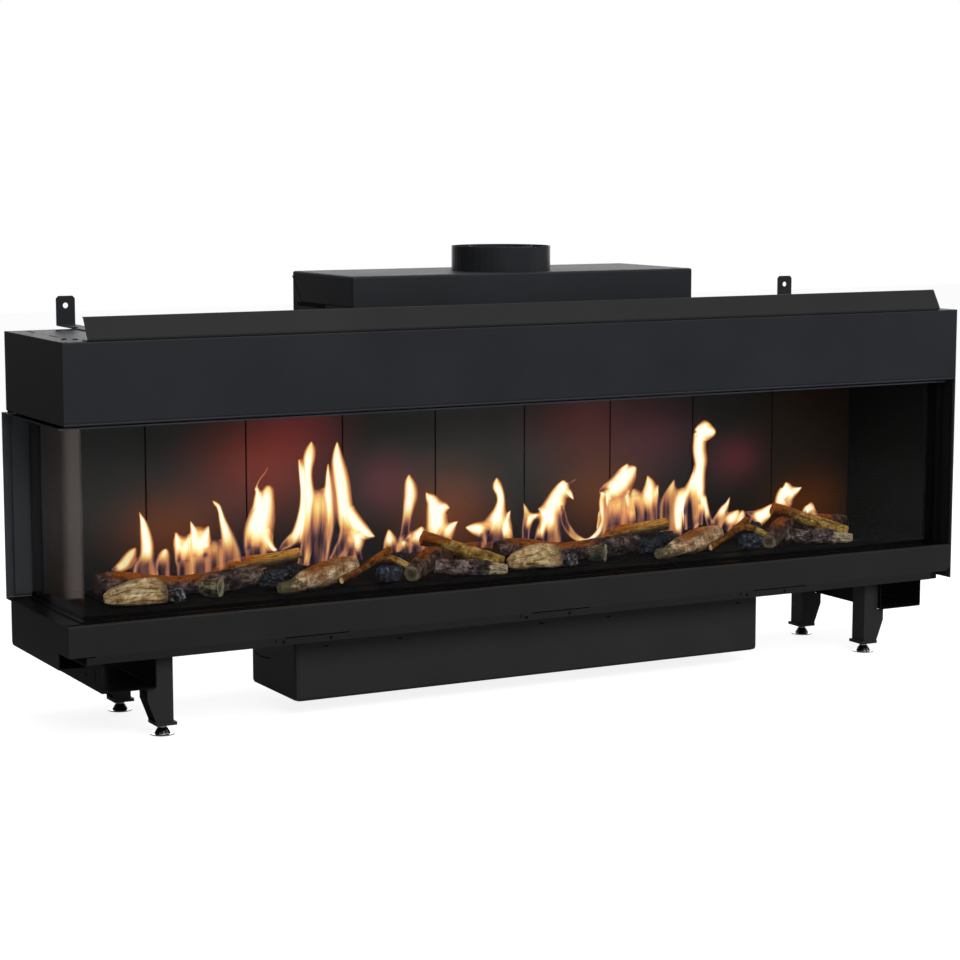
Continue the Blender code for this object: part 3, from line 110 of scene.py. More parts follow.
# the studio: soft lamps by place, aim, width, height and power, and narrow ones for the side glass only
LAMPS = {
    "front_softbox": ((-0.2, -3.6, 2.6), (0.1, 0.0, 0.4), 3.4, 2.2, 78.0),
    "right_softbox": ((3.4, -1.6, 1.8), (0.0, 0.0, 0.4), 2.0, 2.0, 20.0),
    "rear_softbox": ((1.7, 3.0, 1.1), (0.0, 0.0, 0.7), 3.6, 1.6, 38.0),
    "top_softbox": ((0.0, 0.2, 3.2), (0.0, 0.0, 0.0), 3.0, 2.0, 34.0),
}
EDGE_LAMPS = {
    "edge_softbox": ((-1.4525, 1.25, 0.30), (-0.96, -0.1, 0.40), 0.098, 0.75, 0.046),
    "edge_softbox_soft": ((-1.4590, 1.26, 0.30), (-0.96, -0.1, 0.40), 0.082, 0.75, 0.032),
}
FLAGS = {
    "flag_left": ((-3.0, -0.6, 0.0), (-3.0, 5.0, 0.0), (-3.0, 5.0, 3.0), (-3.0, -0.6, 3.0)),
    "flag_low": ((-3.0, 0.0, 0.002), (-1.15, 0.0, 0.002), (-1.6, 5.0, 0.002), (-3.0, 5.0, 0.002)),
}
FLOOR = ((-12.0, -12.0, 0.0), (12.0, -12.0, 0.0), (12.0, 12.0, 0.0), (-12.0, 12.0, 0.0))
COOL = (0.97, 0.98, 1.0)

# flames over the logs in mm: heat, cool share, depth, then x, z and half width from base to tip
FLAMES = [
    (0.4, 0.12, -37, [(-854, 293, 1.8), (-842, 295, 6.8), (-829, 301, 11.1), (-819, 313, 10.5),
     (-812, 323, 6.8), (-807, 329, 1.9)]),
    (1, 0.24, -40, [(-791, 274, 23.3), (-791, 289, 21.8), (-787, 304, 15.5), (-784, 319, 12.7),
     (-784, 337, 11.8), (-787, 359, 9.6), (-791, 379, 5.9), (-795, 390, 2.8), (-798, 398, 0.6)]),
    (0.7, 0.55, -34, [(-752, 270, 16.3), (-751, 285, 15), (-750, 300, 13.8), (-748, 311, 10.6),
     (-746, 318, 6.3), (-745, 322, 1.9)]),
    (0.6, 0.55, -32, [(-708, 263, 13.3), (-708, 300, 13.9), (-708, 321, 14.5), (-711, 329, 13.2)]),
    (0.75, 0.3, -32, [(-715, 300, 9.4), (-715, 325, 10.7), (-719, 339, 6.9), (-722, 350, 3.1)]),
    (0.6, 0.3, -32, [(-703, 299, 8.2), (-702, 324, 8.2), (-698, 336, 4.4), (-695, 345, 1.3)]),
    (0.8, 0.5, -38, [(-676, 261, 19.7), (-676, 298, 18.4), (-677, 323, 17.1), (-676, 338, 16.4),
     (-676, 345, 13.9)]),
    (0.9, 0.2, -38, [(-685, 308, 8.8), (-685, 330, 10.1), (-687, 348, 8.2), (-691, 362, 4.4),
     (-695, 373, 0.9)]),
    (0.9, 0.2, -36, [(-666, 306, 10.8), (-666, 328, 10.8), (-664, 343, 8.2), (-661, 352, 5.1),
     (-659, 359, 1.9)]),
    (0.35, 0.95, -28, [(-646, 260, 15.3), (-645, 294, 14.7), (-645, 313, 14), (-644, 320, 10.8)]),
    (0.85, 0.34, -36, [(-612, 256, 25.6), (-611, 274, 24.3), (-611, 293, 23), (-614, 315, 17.9),
     (-618, 334, 13.4), (-623, 352, 9.6), (-629, 371, 6.4), (-633, 387, 4.4), (-637, 398, 4.1),
     (-644, 405, 2.9), (-648, 409, 0.9)]),
    (1, 0.3, -32, [(-560, 269, 23.2), (-559, 294, 22.6), (-556, 319, 25.8), (-552, 341, 27.1),
     (-546, 362, 25.1), (-538, 383, 18.7), (-534, 402, 14.2), (-532, 417, 11.6), (-531, 423, 7.7)]),
    (0.9, 0.2, -30, [(-568, 313, 14.2), (-566, 341, 14.2), (-559, 366, 13.5), (-552, 390, 11.6),
     (-551, 409, 8.4), (-553, 420, 3.2), (-556, 425, 1)]),
    (0.75, 0.05, -34, [(-512, 302, 1.3), (-523, 307, 4.5), (-531, 318, 7.1), (-538, 330, 9.7)]),
    (0.1, 0, -28, [(-554, 423, 1.6), (-553, 433, 1.3), (-546, 445, 1), (-536, 456, 0.8), (-531, 465, 0.6)]),
    (0.85, 0.1, -32, [(-508, 303, 1.9), (-500, 310, 7.2), (-487, 318, 11.1), (-473, 330, 11.1),
     (-466, 348, 9.8), (-461, 370, 7.8), (-459, 391, 5.5), (-459, 416, 4.2), (-461, 442, 4.2),
     (-463, 460, 3.6), (-466, 476, 1.3)]),
    (0.9, 0.26, -40, [(-467, 271, 9.2), (-459, 298, 10.5), (-453, 323, 12.4), (-448, 348, 13.1),
     (-446, 373, 12.4), (-446, 398, 11.8), (-448, 420, 9.1), (-450, 442, 7.8), (-450, 461, 9.1),
     (-448, 479, 11.7), (-445, 495, 9.8), (-443, 510, 2)]),
    (0.75, 0.26, -38, [(-417, 273, 5.3), (-413, 301, 8.6), (-408, 329, 10.5), (-405, 357, 11.2),
     (-405, 385, 11.2), (-406, 407, 11.2), (-406, 426, 7.2), (-407, 445, 4.3), (-407, 465, 1)]),
    (0.75, 0.85, -34, [(-434, 267, 19.7), (-432, 295, 23), (-430, 321, 26.3), (-426, 345, 27.6),
     (-425, 370, 26.2), (-425, 389, 21.6), (-425, 399, 15.1)]),
    (1, 0.28, -38, [(-398, 274, 8.6), (-384, 292, 13.2), (-370, 313, 16.6), (-366, 335, 15.9),
     (-369, 354, 16.5), (-372, 380, 16.5), (-375, 406, 16.5), (-378, 428, 16.5), (-382, 450, 15.1),
     (-386, 472, 11.8), (-387, 491, 7.2), (-387, 507, 1.3)]),
    (1, 0, -42, [(-366, 374, 9.9), (-354, 354, 13.3), (-339, 336, 12), (-323, 323, 8), (-310, 317, 1.3)]),
    (0.75, 0.4, -36, [(-338, 269, 7.3), (-343, 289, 8.7), (-343, 308, 13.3), (-341, 327, 14.6)]),
    (0.45, 0.95, -34, [(-361, 274, 14.6), (-359, 296, 15.3), (-358, 312, 13.3)]),
    (0.75, 0.3, -30, [(-236, 302, 11.5), (-234, 325, 10.2), (-230, 350, 10.2), (-226, 372, 12.2),
     (-222, 391, 14.2), (-223, 407, 12.8), (-226, 422, 7.4), (-226, 432, 1.3)]),
    (0.75, 0.34, -36, [(-268, 280, 20.2), (-271, 303, 13.5), (-274, 323, 3.4)]),
    (0.7, 0.34, -34, [(-238, 276, 21.7), (-238, 298, 12.9), (-229, 310, 3.4)]),
    (0.75, 0.34, -32, [(-209, 275, 19.7), (-209, 301, 17.7), (-202, 316, 9.5), (-199, 325, 2)]),
    (1, 0.2, -28, [(-160, 280, 28.8), (-164, 326, 21.2), (-167, 352, 17.8), (-171, 373, 13.6),
     (-181, 385, 6.8), (-187, 394, 1)]),
    (0.95, 0.2, -30, [(-157, 306, 13.7), (-159, 339, 15.7), (-156, 356, 14.4), (-146, 362, 8.2),
     (-136, 360, 1)]),
    (0.8, 0.34, -32, [(-151, 280, 17.2), (-141, 309, 13.7), (-132, 321, 8.9), (-119, 331, 1.4)]),
    (0.95, 0.2, -34, [(-43, 302, 20.9), (-63, 311, 15.3), (-83, 315, 9.7), (-99, 318, 1.7)]),
    (1, 0.2, -32, [(-30, 273, 38.4), (-31, 307, 32.1), (-27, 327, 21.6), (-22, 344, 14), (-18, 365, 9.1),
     (-20, 382, 8.7), (-27, 398, 9.7), (-28, 412, 2.4)]),
    (0.9, 0.2, -30, [(-7, 271, 16.1), (-7, 305, 15.1), (-4, 326, 8.4), (4, 344, 1.1)]),
    (0.55, 0.6, -30, [(40, 279, 5.6), (40, 310, 6.5), (44, 329, 7.9), (42, 342, 5.6), (36, 357, 0.8)]),
    (0.75, 0.34, -32, [(41, 284, 6.2), (44, 310, 8.5), (51, 325, 7.9), (61, 330, 5.1), (70, 332, 0.8)]),
    (0.6, 0.34, -34, [(74, 274, 17), (77, 297, 12.5), (86, 313, 8.5)]),
    (1, 0.2, -38, [(98, 270, 26.2), (95, 299, 22.7), (93, 321, 22.1), (96, 339, 22.1), (108, 359, 20.5),
     (117, 377, 15.6), (123, 390, 9.7), (125, 397, 2.3)]),
    (1, 0.2, -36, [(91, 321, 8.5), (83, 334, 10.2), (76, 342, 5.7), (68, 345, 0.8)]),
    (0.8, 0.34, -40, [(125, 390, 4.5), (134, 379, 6.8), (142, 369, 5.1), (148, 360, 0.9)]),
    (0.3, 0.6, -40, [(132, 390, 1.4), (143, 396, 1.4), (153, 401, 0.6)]),
    (0.7, 0.34, -36, [(120, 353, 5.7), (127, 329, 8), (132, 310, 8.6), (146, 290, 8), (164, 276, 6.3),
     (183, 271, 4), (201, 278, 4.9), (215, 290, 6.9), (223, 309, 7.5), (221, 330, 6.9), (219, 352, 5.8),
     (221, 365, 3.5)]),
    (1, 0.2, -34, [(213, 372, 1.4), (231, 374, 13.3), (251, 376, 20.9), (271, 386, 22.1), (286, 401, 16.9),
     (295, 411, 9.3), (303, 415, 1.2)]),
    (1, 0.2, -32, [(262, 389, 14.5), (273, 407, 11), (283, 424, 0.9)]),
    (0.7, 0.34, -32, [(238, 269, 11.6), (237, 302, 9.9), (237, 329, 8.7), (237, 361, 8.7)]),
    (0.6, 0.34, -30, [(256, 273, 11.7), (255, 306, 9.9), (256, 333, 8.7), (259, 359, 6.4)]),
    (0.4, 0.6, -26, [(273, 282, 9.9), (270, 318, 9.3), (272, 339, 8.7), (276, 356, 4.1)]),
    (0.6, 0.34, -28, [(297, 289, 7.6), (292, 324, 9.1), (288, 346, 8.2), (286, 362, 4.7), (286, 370, 1.2)]),
    (0.45, 0.6, -24, [(318, 290, 18.2), (315, 328, 19.4), (309, 350, 16.1), (305, 365, 4.7)]),
    (0.8, 0.34, -28, [(338, 289, 16.5), (339, 327, 14.1), (341, 354, 17.1), (342, 375, 12.3),
     (336, 395, 1.2)]),
    (0.55, 0.6, -26, [(356, 287, 6.5), (356, 333, 7.7), (359, 360, 5.9), (363, 372, 1.5)]),
    (0.8, 0.75, -28, [(386, 274, 17.2), (386, 312, 18.4), (388, 337, 17.8), (396, 361, 10.7),
     (402, 382, 1.2)]),
    (1, 0.15, -30, [(414, 256, 8.9), (414, 294, 11.9), (416, 322, 14.9), (420, 349, 13.1)]),
    (0.95, 0.25, -28, [(430, 315, 11.9), (431, 342, 10.7), (443, 361, 10.1), (452, 379, 7.2)]),
    (0.45, 0.95, -24, [(252, 267, 32.1), (255, 305, 35), (258, 326, 32), (259, 342, 23.3)]),
    (0.45, 0.95, -24, [(306, 269, 23.5), (304, 301, 24.6), (300, 323, 20.5)]),
    (0.9, 0.6, -34, [(442, 275, 13.5), (442, 304, 16.7), (440, 329, 17.7), (441, 349, 16.1),
     (448, 373, 12.9), (456, 397, 9.1)]),
    (1, 0.2, -38, [(464, 283, 5.9), (463, 311, 8.1), (463, 338, 9.7), (462, 362, 11.8), (461, 382, 12.4),
     (462, 402, 12.4), (463, 421, 15), (459, 444, 15.5), (460, 466, 15.5), (467, 482, 17.7),
     (473, 494, 10.7)]),
    (1, 0.2, -40, [(448, 483, 6.9), (465, 485, 15), (482, 482, 12.9), (495, 481, 3.8)]),
    (0.75, 0.34, -36, [(493, 277, 7), (486, 294, 7.6), (480, 314, 6.5), (474, 337, 6.5)]),
    (0.7, 0.34, -34, [(443, 275, 5.4), (452, 286, 4.3), (460, 303, 3.8), (463, 323, 3.2)]),
    (0.8, 0.34, -34, [(499, 273, 11.9), (513, 294, 10.9), (525, 311, 9.2), (534, 323, 4.9),
     (540, 337, 0.8)]),
    (0.75, 0.34, -36, [(530, 266, 17.4), (537, 284, 16.4), (550, 294, 12.6), (560, 305, 3.8)]),
    (0.6, 0.34, -34, [(567, 268, 13.7), (570, 288, 11.5), (574, 302, 4.4)]),
    (0.95, 0.2, -32, [(604, 270, 16.5), (619, 285, 16), (635, 297, 11.6), (650, 311, 3.9)]),
    (0.7, 0.34, -30, [(586, 302, 1.6), (605, 296, 7.2), (626, 291, 9.9), (644, 292, 6.6)]),
    (1, 0.2, -28, [(685, 292, 24), (685, 322, 20), (690, 337, 16.7), (694, 346, 11.7), (691, 358, 1.7)]),
    (0.9, 0.2, -30, [(691, 322, 13.9), (707, 336, 10.6), (720, 341, 6.1), (731, 346, 0.8)]),
    (0.9, 0.2, -16, [(763, 277, 23.7), (764, 292, 15.8), (767, 302, 5.1), (768, 308, 0.8)]),
]

# ceramic logs of one set in mm: distance from the left face, setback, height over the plate, radius
SET_SHIFT = 0.849
LOGS = {
    "bark": [(108, 153, 34, 19), (135, 153, 33, 23.5), (190, 152, 27, 22.5), (250, 150, 20, 20.5),
             (300, 147, 19, 20.5), (350, 144, 22, 21.5), (400, 142, 25, 20.5), (434, 140, 28, 18)],
    "split": [(104, 100, 15, 7.5), (122, 98, 18, 15), (160, 94, 21, 20.5), (195, 91, 21, 21),
              (218, 90, 18, 16.5)],
    "chunk": [(446, 78, 11, 11), (470, 81, 11, 14), (500, 88, 18, 18.5), (540, 100, 24, 23),
              (580, 112, 30, 24), (622, 124, 32, 20)],
    "branch": [(330, 196, 12, 8), (362, 194, 27, 12.5), (400, 192, 40, 13.5), (435, 190, 45, 14.5),
               (480, 188, 48, 13), (535, 186, 54, 12.5)],
    "cross": [(790, 158, 71, 14.5), (815, 150, 64, 13.5), (850, 135, 51, 13), (890, 115, 36, 15),
              (935, 88, 21, 12)],
    "partner": [(728, 83, 15, 17), (755, 105, 22, 20.5), (790, 130, 34, 20), (820, 148, 42, 15)],
    "rear": [(905, 222, 22, 20), (945, 223, 21, 21), (985, 222, 19, 21), (1015, 221, 18, 19),
             (1030, 220, 20, 15)],
    "stub": [(310, 134, 18, 13.5), (322, 121, 16, 17.5), (337, 108, 16, 20.5)],
    "rough": [(795, 112, 20, 12.5), (830, 104, 17, 15), (870, 94, 16, 15.5), (905, 80, 12, 12.5),
              (934, 70, 10, 9)],
    "twig": [(571.2, 70, 16.5, 6.6), (574, 75, 17, 6.8), (611, 85, 28, 6.6), (650, 100, 41, 7.8),
             (676, 114, 48, 8.8), (706, 135, 57, 7.2)],
    "fork": [(680, 113, 47, 7.6), (700, 106, 43, 7), (717, 98, 34, 6.6), (736, 86, 21, 6.2)],
}
REPLACED = {"bark": "bark", "split": "split", "chunk": "chunk", "branch": "branch",
            "cross": "crossed", "rear": "rear"}
SLIM = ("twig", "fork")
HOLLOW = ("stub", "partner")
SPLIT_WOOD = ("split", "chunk", "branch", "cross", "twig", "fork")

# charcoal of one set in mm: distance from the left face, setback and height, half sizes, share of pale marks
# (own crackle on the white coal, painted glints on the others)
COALS = {
    "white": ((243, 90, 13), (21, 15, 16), 0.95),
    "blue": ((455, 132, 20), (36, 22, 22), 0.25),
    "brown": ((512, 150, 24), (30, 20, 21), 0.1),
    "slate": ((686, 94, 18), (33, 20, 20), 0.6),
    "black": ((733, 142, 40), (17, 12, 12), 0.05),
}

# cracks by kind of log: pitch along it and turns round it, seed shifts, then strength, pitch and turns
# of what bends them, and their width
LONG_CRACKS = (11, 3.4, 1, 0, 0.35, 60, 5, 0.085)
BARK_CRACKS = (34, 3.0, 0, 1, 0.35, 110, 7, 0.12)
CRACKS = {"split": LONG_CRACKS, "cross": LONG_CRACKS, "branch": LONG_CRACKS, "fork": LONG_CRACKS,
          "chunk": (75, 0.9, 0, 1, 0.5, 30, 4, 0.060), "rough": (95, 3.0, 0, 0, 0.3, 160, 8, 0.16),
          "twig": (20, 2.4, 0, 0, 0.0, 0, 0, 0.06)}

# glows of the fire on the lining: x, z, half width, half height, colour
GLOWS = [
    (-0.486, 0.443, 0.215, 0.150, (0.135, 0.010, 0.003)),
    (-0.403, 0.515, 0.160, 0.130, (0.064, 0.004, 0.006)),
    (-0.682, 0.345, 0.170, 0.110, (0.098, 0.018, 0.000)),
    (-0.214, 0.400, 0.110, 0.100, (0.072, 0.006, 0.013)),
    (-0.069, 0.330, 0.170, 0.140, (0.118, 0.022, 0.000)),
    (0.261, 0.484, 0.200, 0.140, (0.052, 0.006, 0.006)),
    (0.299, 0.345, 0.180, 0.140, (0.090, 0.018, 0.000)),
    (0.437, 0.453, 0.160, 0.120, (0.040, 0.004, 0.010)),
    (0.647, 0.400, 0.110, 0.080, (0.064, 0.005, 0.011)),
    (0.839, 0.285, 0.170, 0.110, (0.058, 0.013, 0.000)),
    (0.820, 0.400, 0.300, 0.300, (0.007, 0.0025, 0.000)),
]


def linear(r, g, b):
    """A colour in linear light from eight-bit display values."""
    return tuple(((c / 255 + 0.055) / 1.055) ** 2.4 if c > 10 else c / 255 / 12.92 for c in (r, g, b))


def blend(a, b, t):
    """A colour between two others."""
    t = min(max(t, 0.0), 1.0)
    return tuple(p + (q - p) * t for p, q in zip(a, b))


def ramp(edge0, edge1, x):
    """A smooth step from 0 to 1."""
    t = min(max((x - edge0) / (edge1 - edge0), 0.0), 1.0)
    return t * t * (3 - 2 * t)


def smooth(low, high, value):
    """A smooth step on arrays."""
    t = np.clip((value - low) / (high - low), 0.0, 1.0)
    return t * t * (3 - 2 * t)


def waver(x, y, z):
    """Even noise about zero at one point."""
    return noise.noise(Vector((x, y, z)))


class Tree:
    """The nodes of a material or world under construction."""

    def __init__(self, owner):
        owner.use_nodes = True
        self.owner = owner
        self.nodes = owner.node_tree.nodes
        self.links = owner.node_tree.links
        self.shader = self.nodes.get("Principled BSDF") or self.nodes["Background"]
        self.place = None

    def feed(self, socket, value):
        """Link an output to an input, or set a constant on it."""
        if isinstance(value, bpy.types.NodeSocket):
            self.links.new(value, socket)
        elif socket.type == "RGBA":
            socket.default_value = (*(value if isinstance(value, tuple) else (value,) * 3), 1.0)
        else:
            socket.default_value = value

    def add(self, kind, inputs=None, **settings):
        """A new node with its settings, then its inputs by name or number."""
        node = self.nodes.new(kind)
        for key, value in settings.items():
            setattr(node, key, value)
        for key, value in (inputs or {}).items():
            self.feed(node.inputs[key], value)
        return node

    def set(self, **inputs):
        """Feed inputs of the main shader, with an underscore for each space."""
        for key, value in inputs.items():
            self.feed(self.shader.inputs[key.replace("_", " ")], value)

    def stretch(self, scale):
        return self.add("ShaderNodeMapping", {"Vector": self.place, "Scale": scale}).outputs["Vector"]

    def noise(self, scale, detail=3.0, rough=0.55, vector=None, distortion=0.0):
        inputs = {"Vector": vector or self.place, "Scale": scale, "Detail": detail, "Roughness": rough,
                  "Distortion": distortion}
        return self.add("ShaderNodeTexNoise", inputs).outputs["Fac"]

    def paint(self, layer):
        return self.add("ShaderNodeAttribute", attribute_name=layer).outputs

    def ramp(self, value, stops):
        """Colours or grey levels by position."""
        node = self.add("ShaderNodeValToRGB", {"Fac": value})
        elements = node.color_ramp.elements
        while len(elements) < len(stops):
            elements.new(0.5)
        for element, (position, colour) in zip(elements, stops):
            element.position = position
            element.color = (*(colour if isinstance(colour, tuple) else (colour,) * 3), 1.0)
        return node.outputs["Color"]

    def span(self, value, low, high):
        inputs = {"Value": value, "To Min": low, "To Max": high}
        return self.add("ShaderNodeMapRange", inputs).outputs["Result"]

    def axis(self, letter):
        return self.add("ShaderNodeSeparateXYZ", {"Vector": self.place}).outputs[letter]

    def along(self, letter, low, high):
        """The place along one axis, as 0 at low and 1 at high."""
        inputs = {"Value": self.axis(letter), "From Min": low, "From Max": high}
        return self.add("ShaderNodeMapRange", inputs).outputs["Result"]

    def math(self, operation, a, b):
        return self.add("ShaderNodeMath", {0: a, 1: b}, operation=operation).outputs[0]

    def bump(self, value, distance, strength, under=None):
        node = self.add("ShaderNodeBump", {"Height": value, "Distance": distance, "Strength": strength})
        if under is not None:
            self.feed(node.inputs["Normal"], under)
        return node.outputs["Normal"]

    def mix(self, factor, a, b, kind="MIX"):
        return self.add("ShaderNodeMix", {"Factor": factor, 6: a, 7: b}, data_type="RGBA",
                        blend_type=kind).outputs[2]

    def times(self, a, b):
        return self.mix(1.0, a, b, "MULTIPLY")

    def either(self, factor, first, second):
        """One shader or another."""
        return self.add("ShaderNodeMixShader", {"Fac": factor, 1: first, 2: second}).outputs["Shader"]

    def seen(self):
        """1 for rays that arrive straight from the camera or through glass."""
        path = self.add("ShaderNodeLightPath").outputs
        return self.math("MAXIMUM", path["Is Camera Ray"], path["Is Transmission Ray"])

    def surface(self, shader):
        """Make a shader the one that shows."""
        output = next(node for node in self.nodes if node.type.startswith("OUTPUT"))
        self.links.new(shader, output.inputs["Surface"])


def material(name):
    """The tree of a new material, with the places of its points."""
    tree = Tree(bpy.data.materials.new(name))
    tree.place = tree.add("ShaderNodeTexCoord").outputs["Object"]
    return tree


def powder_coat(name, low, high, rough, specular, grain=1400.0, relief=0.00018, edge=None):
    """Fine textured powder coat, slightly uneven in colour and gloss, with an optional band along one edge
    painted lighter or darker as highlight and shade.
    """
    tree = material(name)
    fine = tree.noise(grain, 2.0)
    broad = tree.noise(6.0, 4.0)
    tone = tree.ramp(tree.mix(0.35, broad, fine), [(0.30, linear(*low)), (0.70, linear(*high))])
    # painted highlight and shade: the tone is scaled in a band along one edge
    if edge:
        letter, start, stops = edge
        tone = tree.times(tone, tree.ramp(tree.along(letter, start, start + EDGE_REACH), stops))
    tree.set(Base_Color=tone, Roughness=tree.span(broad, rough - 0.05, rough + 0.06),
             Normal=tree.bump(fine, relief, 0.55), Specular_IOR_Level=specular)
    return tree.owner


def metal(name, colour, rough, grain=900.0):
    """Plated or drawn metal with faint lines."""
    tree = material(name)
    lines = tree.noise(grain, 3.0, vector=tree.stretch((1.0, 1.0, 0.1)))
    tree.set(Base_Color=tree.ramp(lines, [(0.2, blend(colour, (0, 0, 0), 0.25)), (0.8, colour)]),
             Roughness=tree.span(lines, rough - 0.06, rough + 0.10), Normal=tree.bump(lines, 0.00005, 0.4),
             Metallic=1.0)
    return tree.owner


def lining_material():
    """Black steel lining in bays, with painted shade low down and in the gaps between bays, painted
    highlights beside the gaps, painted light strongest in the middle and dark at the right end, and the
    coloured glow of the fire painted on it.
    """
    tree = material("lining_black")
    broad = tree.noise(7.0, 3.0)
    # painted light across the lining: strongest in the middle, dark towards the right end
    light_across = tree.ramp(tree.along("X", LEFT, RIGHT), [(0.0, 1.25), (0.30, 1.55), (0.50, 2.3), (0.72, 1.3),
                                                    (0.86, 0.40), (0.97, 0.10)])
    # painted shade low down on the lining, easing off upwards
    low_shade = tree.ramp(tree.along("Z", LINING_SHADE_LOW, LINING_SHADE_HIGH), [(0.0, 0.15), (0.25, 0.40), (0.45, 0.80),
                                                            (0.62, 1.0)])
    even = tree.ramp(broad, [(0.3, linear(55, 55, 55)), (0.7, linear(63, 63, 63))])
    # painted shade in the gaps between the lining's bays, with a painted highlight along each edge
    bays = tree.math("DIVIDE", tree.math("SUBTRACT", tree.axis("X"), LINING_LEFT), LINING_BAY)
    seam_shade = tree.ramp(tree.math("PINGPONG", bays, 0.5), [(0.0, 0.02), (0.0075, 0.06), (0.0095, 1.30),
                                                        (0.016, 1.0)])
    glow = None
    for x, z, wide, high, colour in GLOWS:
        spot = tree.add("ShaderNodeMapping", {"Vector": tree.place, "Location": (x, LINING_FRONT, z),
                                              "Scale": (wide, 1.0, high)}, vector_type="TEXTURE").outputs[0]
        near = tree.add("ShaderNodeTexGradient", {"Vector": spot}, gradient_type="SPHERICAL")
        dim, strong = (blend((0, 0, 0), colour, share) for share in (0.22, 0.7))
        eased = tree.ramp(near.outputs["Fac"], [(0.0, 0.0), (0.35, dim), (0.7, strong), (1.0, colour)])
        glow = eased if glow is None else tree.mix(1.0, glow, eased, "ADD")
    tree.set(Base_Color=tree.times(tree.times(tree.times(even, light_across), low_shade), seam_shade),
             Roughness=tree.span(broad, 0.42, 0.52), Normal=tree.bump(tree.noise(1500.0, 2.0), 0.00003, 0.5),
             Specular_IOR_Level=0.20, Emission_Color=tree.times(glow, seam_shade), Emission_Strength=1.0)
    return tree.owner


def painted(name, grain, depth, rough, specular, stretch=(1.0, 1.0, 1.0)):
    """A surface with its broad colour and own light painted on its points, with fine grain and relief."""
    tree = material(name)
    vector = tree.stretch(stretch)
    fine = tree.noise(grain, 6.0, 0.65, vector, 0.4)
    coarse = tree.noise(grain * 0.22, 4.0, 0.6, vector, 0.8)
    shade = tree.ramp(fine, [(0.32, 0.45), (0.55, 1.0), (0.75, 1.45)])
    patches = tree.ramp(coarse, [(0.30, 0.65), (0.55, 1.0), (0.80, 1.30)])
    tree.set(Base_Color=tree.times(tree.times(tree.paint("paint")["Color"], shade), patches),
             Roughness=tree.span(fine, rough - 0.08, rough + 0.08),
             Normal=tree.bump(fine, depth, 0.9, tree.bump(coarse, depth * 2.5, 0.8)),
             Specular_IOR_Level=specular, Emission_Color=tree.times(tree.paint("heat")["Color"], shade),
             Emission_Strength=1.0)
    return tree.owner


def flame_material():
    """Light of the flames, painted on their points, thinner where the paint says so."""
    tree = material("flame")
    paint = tree.paint("paint")
    streaks = tree.noise(90.0, 3.0, 0.5, tree.stretch((1.0, 1.0, 0.12)), 0.3)
    veil = tree.math("MULTIPLY", paint["Alpha"], tree.span(streaks, 0.86, 1.12))
    tree.set(Base_Color=(0, 0, 0), Roughness=1.0, Specular_IOR_Level=0.0, Emission_Color=paint["Color"],
             Emission_Strength=1.15, Alpha=veil)
    return tree.owner


def foot_material():
    """Bright plated disc and neck with a black moulded cone between them."""
    tree = material("levelling_foot")
    scratch = tree.noise(500.0, 3.0, vector=tree.stretch((1.0, 1.0, 4.0)))
    plated = tree.ramp(tree.along("Z", 0.0, FOOT_HEIGHT), [(0.0, 1.0), (0.128, 1.0), (0.138, 0.0),
                                                           (0.675, 0.0), (0.685, 1.0)])
    bright = tree.ramp(scratch, [(0.3, 0.42), (0.7, 0.60)])
    tree.set(Base_Color=tree.mix(plated, linear(14, 14, 15), bright), Metallic=plated,
             Roughness=tree.span(scratch, 0.12, 0.24), Normal=tree.bump(scratch, 0.00004, 0.4))
    return tree.owner


def glass_material():
    """Clear ceramic glass: a faint warm tint, sheen by angle and a few dust specks."""
    tree = material("ceramic_glass_clear")
    film = tree.span(tree.noise(260.0, 2.0), 0.0, 0.05)
    tree.set(Base_Color=(0.97, 0.96, 0.94), Roughness=film, IOR=1.0, Transmission_Weight=1.0)
    sheen = tree.add("ShaderNodeBsdfGlossy", {"Roughness": film}).outputs["BSDF"]
    clear = tree.add("ShaderNodeBsdfTransparent", {"Color": (0.97, 0.965, 0.96)}).outputs["BSDF"]
    slant = tree.ramp(tree.add("ShaderNodeLayerWeight").outputs["Facing"],
                      [(0.0, 0.004), (0.20, 0.008), (0.69, 0.11), (1.0, 0.7)])
    tree.surface(tree.either(0.02, tree.either(slant, clear, sheen), tree.shader.outputs["BSDF"]))
    return tree.owner


def stile_material():
    """Folded stile, painted dark as shade, with painted highlights on two folds and the coat's own tone on
    its outer return, which catches the light.
    """
    tree = material("powder_coat_stile")
    fine = tree.noise(1400.0, 2.0)
    # dark is painted shade, line a painted highlight on a fold, face the coat's own tone
    dark, line, face = linear(6, 6, 7), linear(34, 35, 37), linear(40, 42, 46)
    tone = tree.ramp(tree.along("X", RIGHT - STILE_REACH, RIGHT), [
        (0.0, dark), (0.21, dark), (0.23, line), (0.31, line), (0.33, dark), (0.70, dark), (0.715, line),
        (0.745, line), (0.76, dark), (0.955, dark), (0.965, face), (1.0, face)])
    tree.set(Base_Color=tree.times(tone, tree.ramp(fine, [(0.3, 0.85), (0.7, 1.1)])),
             Roughness=tree.span(fine, 0.45, 0.56), Normal=tree.bump(fine, 0.00018, 0.55),
             Specular_IOR_Level=0.16)
    return tree.owner


BLACK = ((33, 34, 38), (40, 42, 46), 0.50, 0.20)
# painted highlight in a band a few mm above the hood's bottom edge, then a painted shadow line just above it
HEM_HIGHLIGHT_AND_SHADE = [(0.0, 1.0), (0.10, 1.0), (0.12, 2.2), (0.20, 2.2), (0.23, 0.5), (0.32, 0.5), (0.38, 1.0)]
STILE = stile_material()
COAT = powder_coat("powder_coat_black", *BLACK)
COAT_HOOD = powder_coat("powder_coat_hood", *BLACK, edge=("Z", HOOD_BOTTOM, HEM_HIGHLIGHT_AND_SHADE))
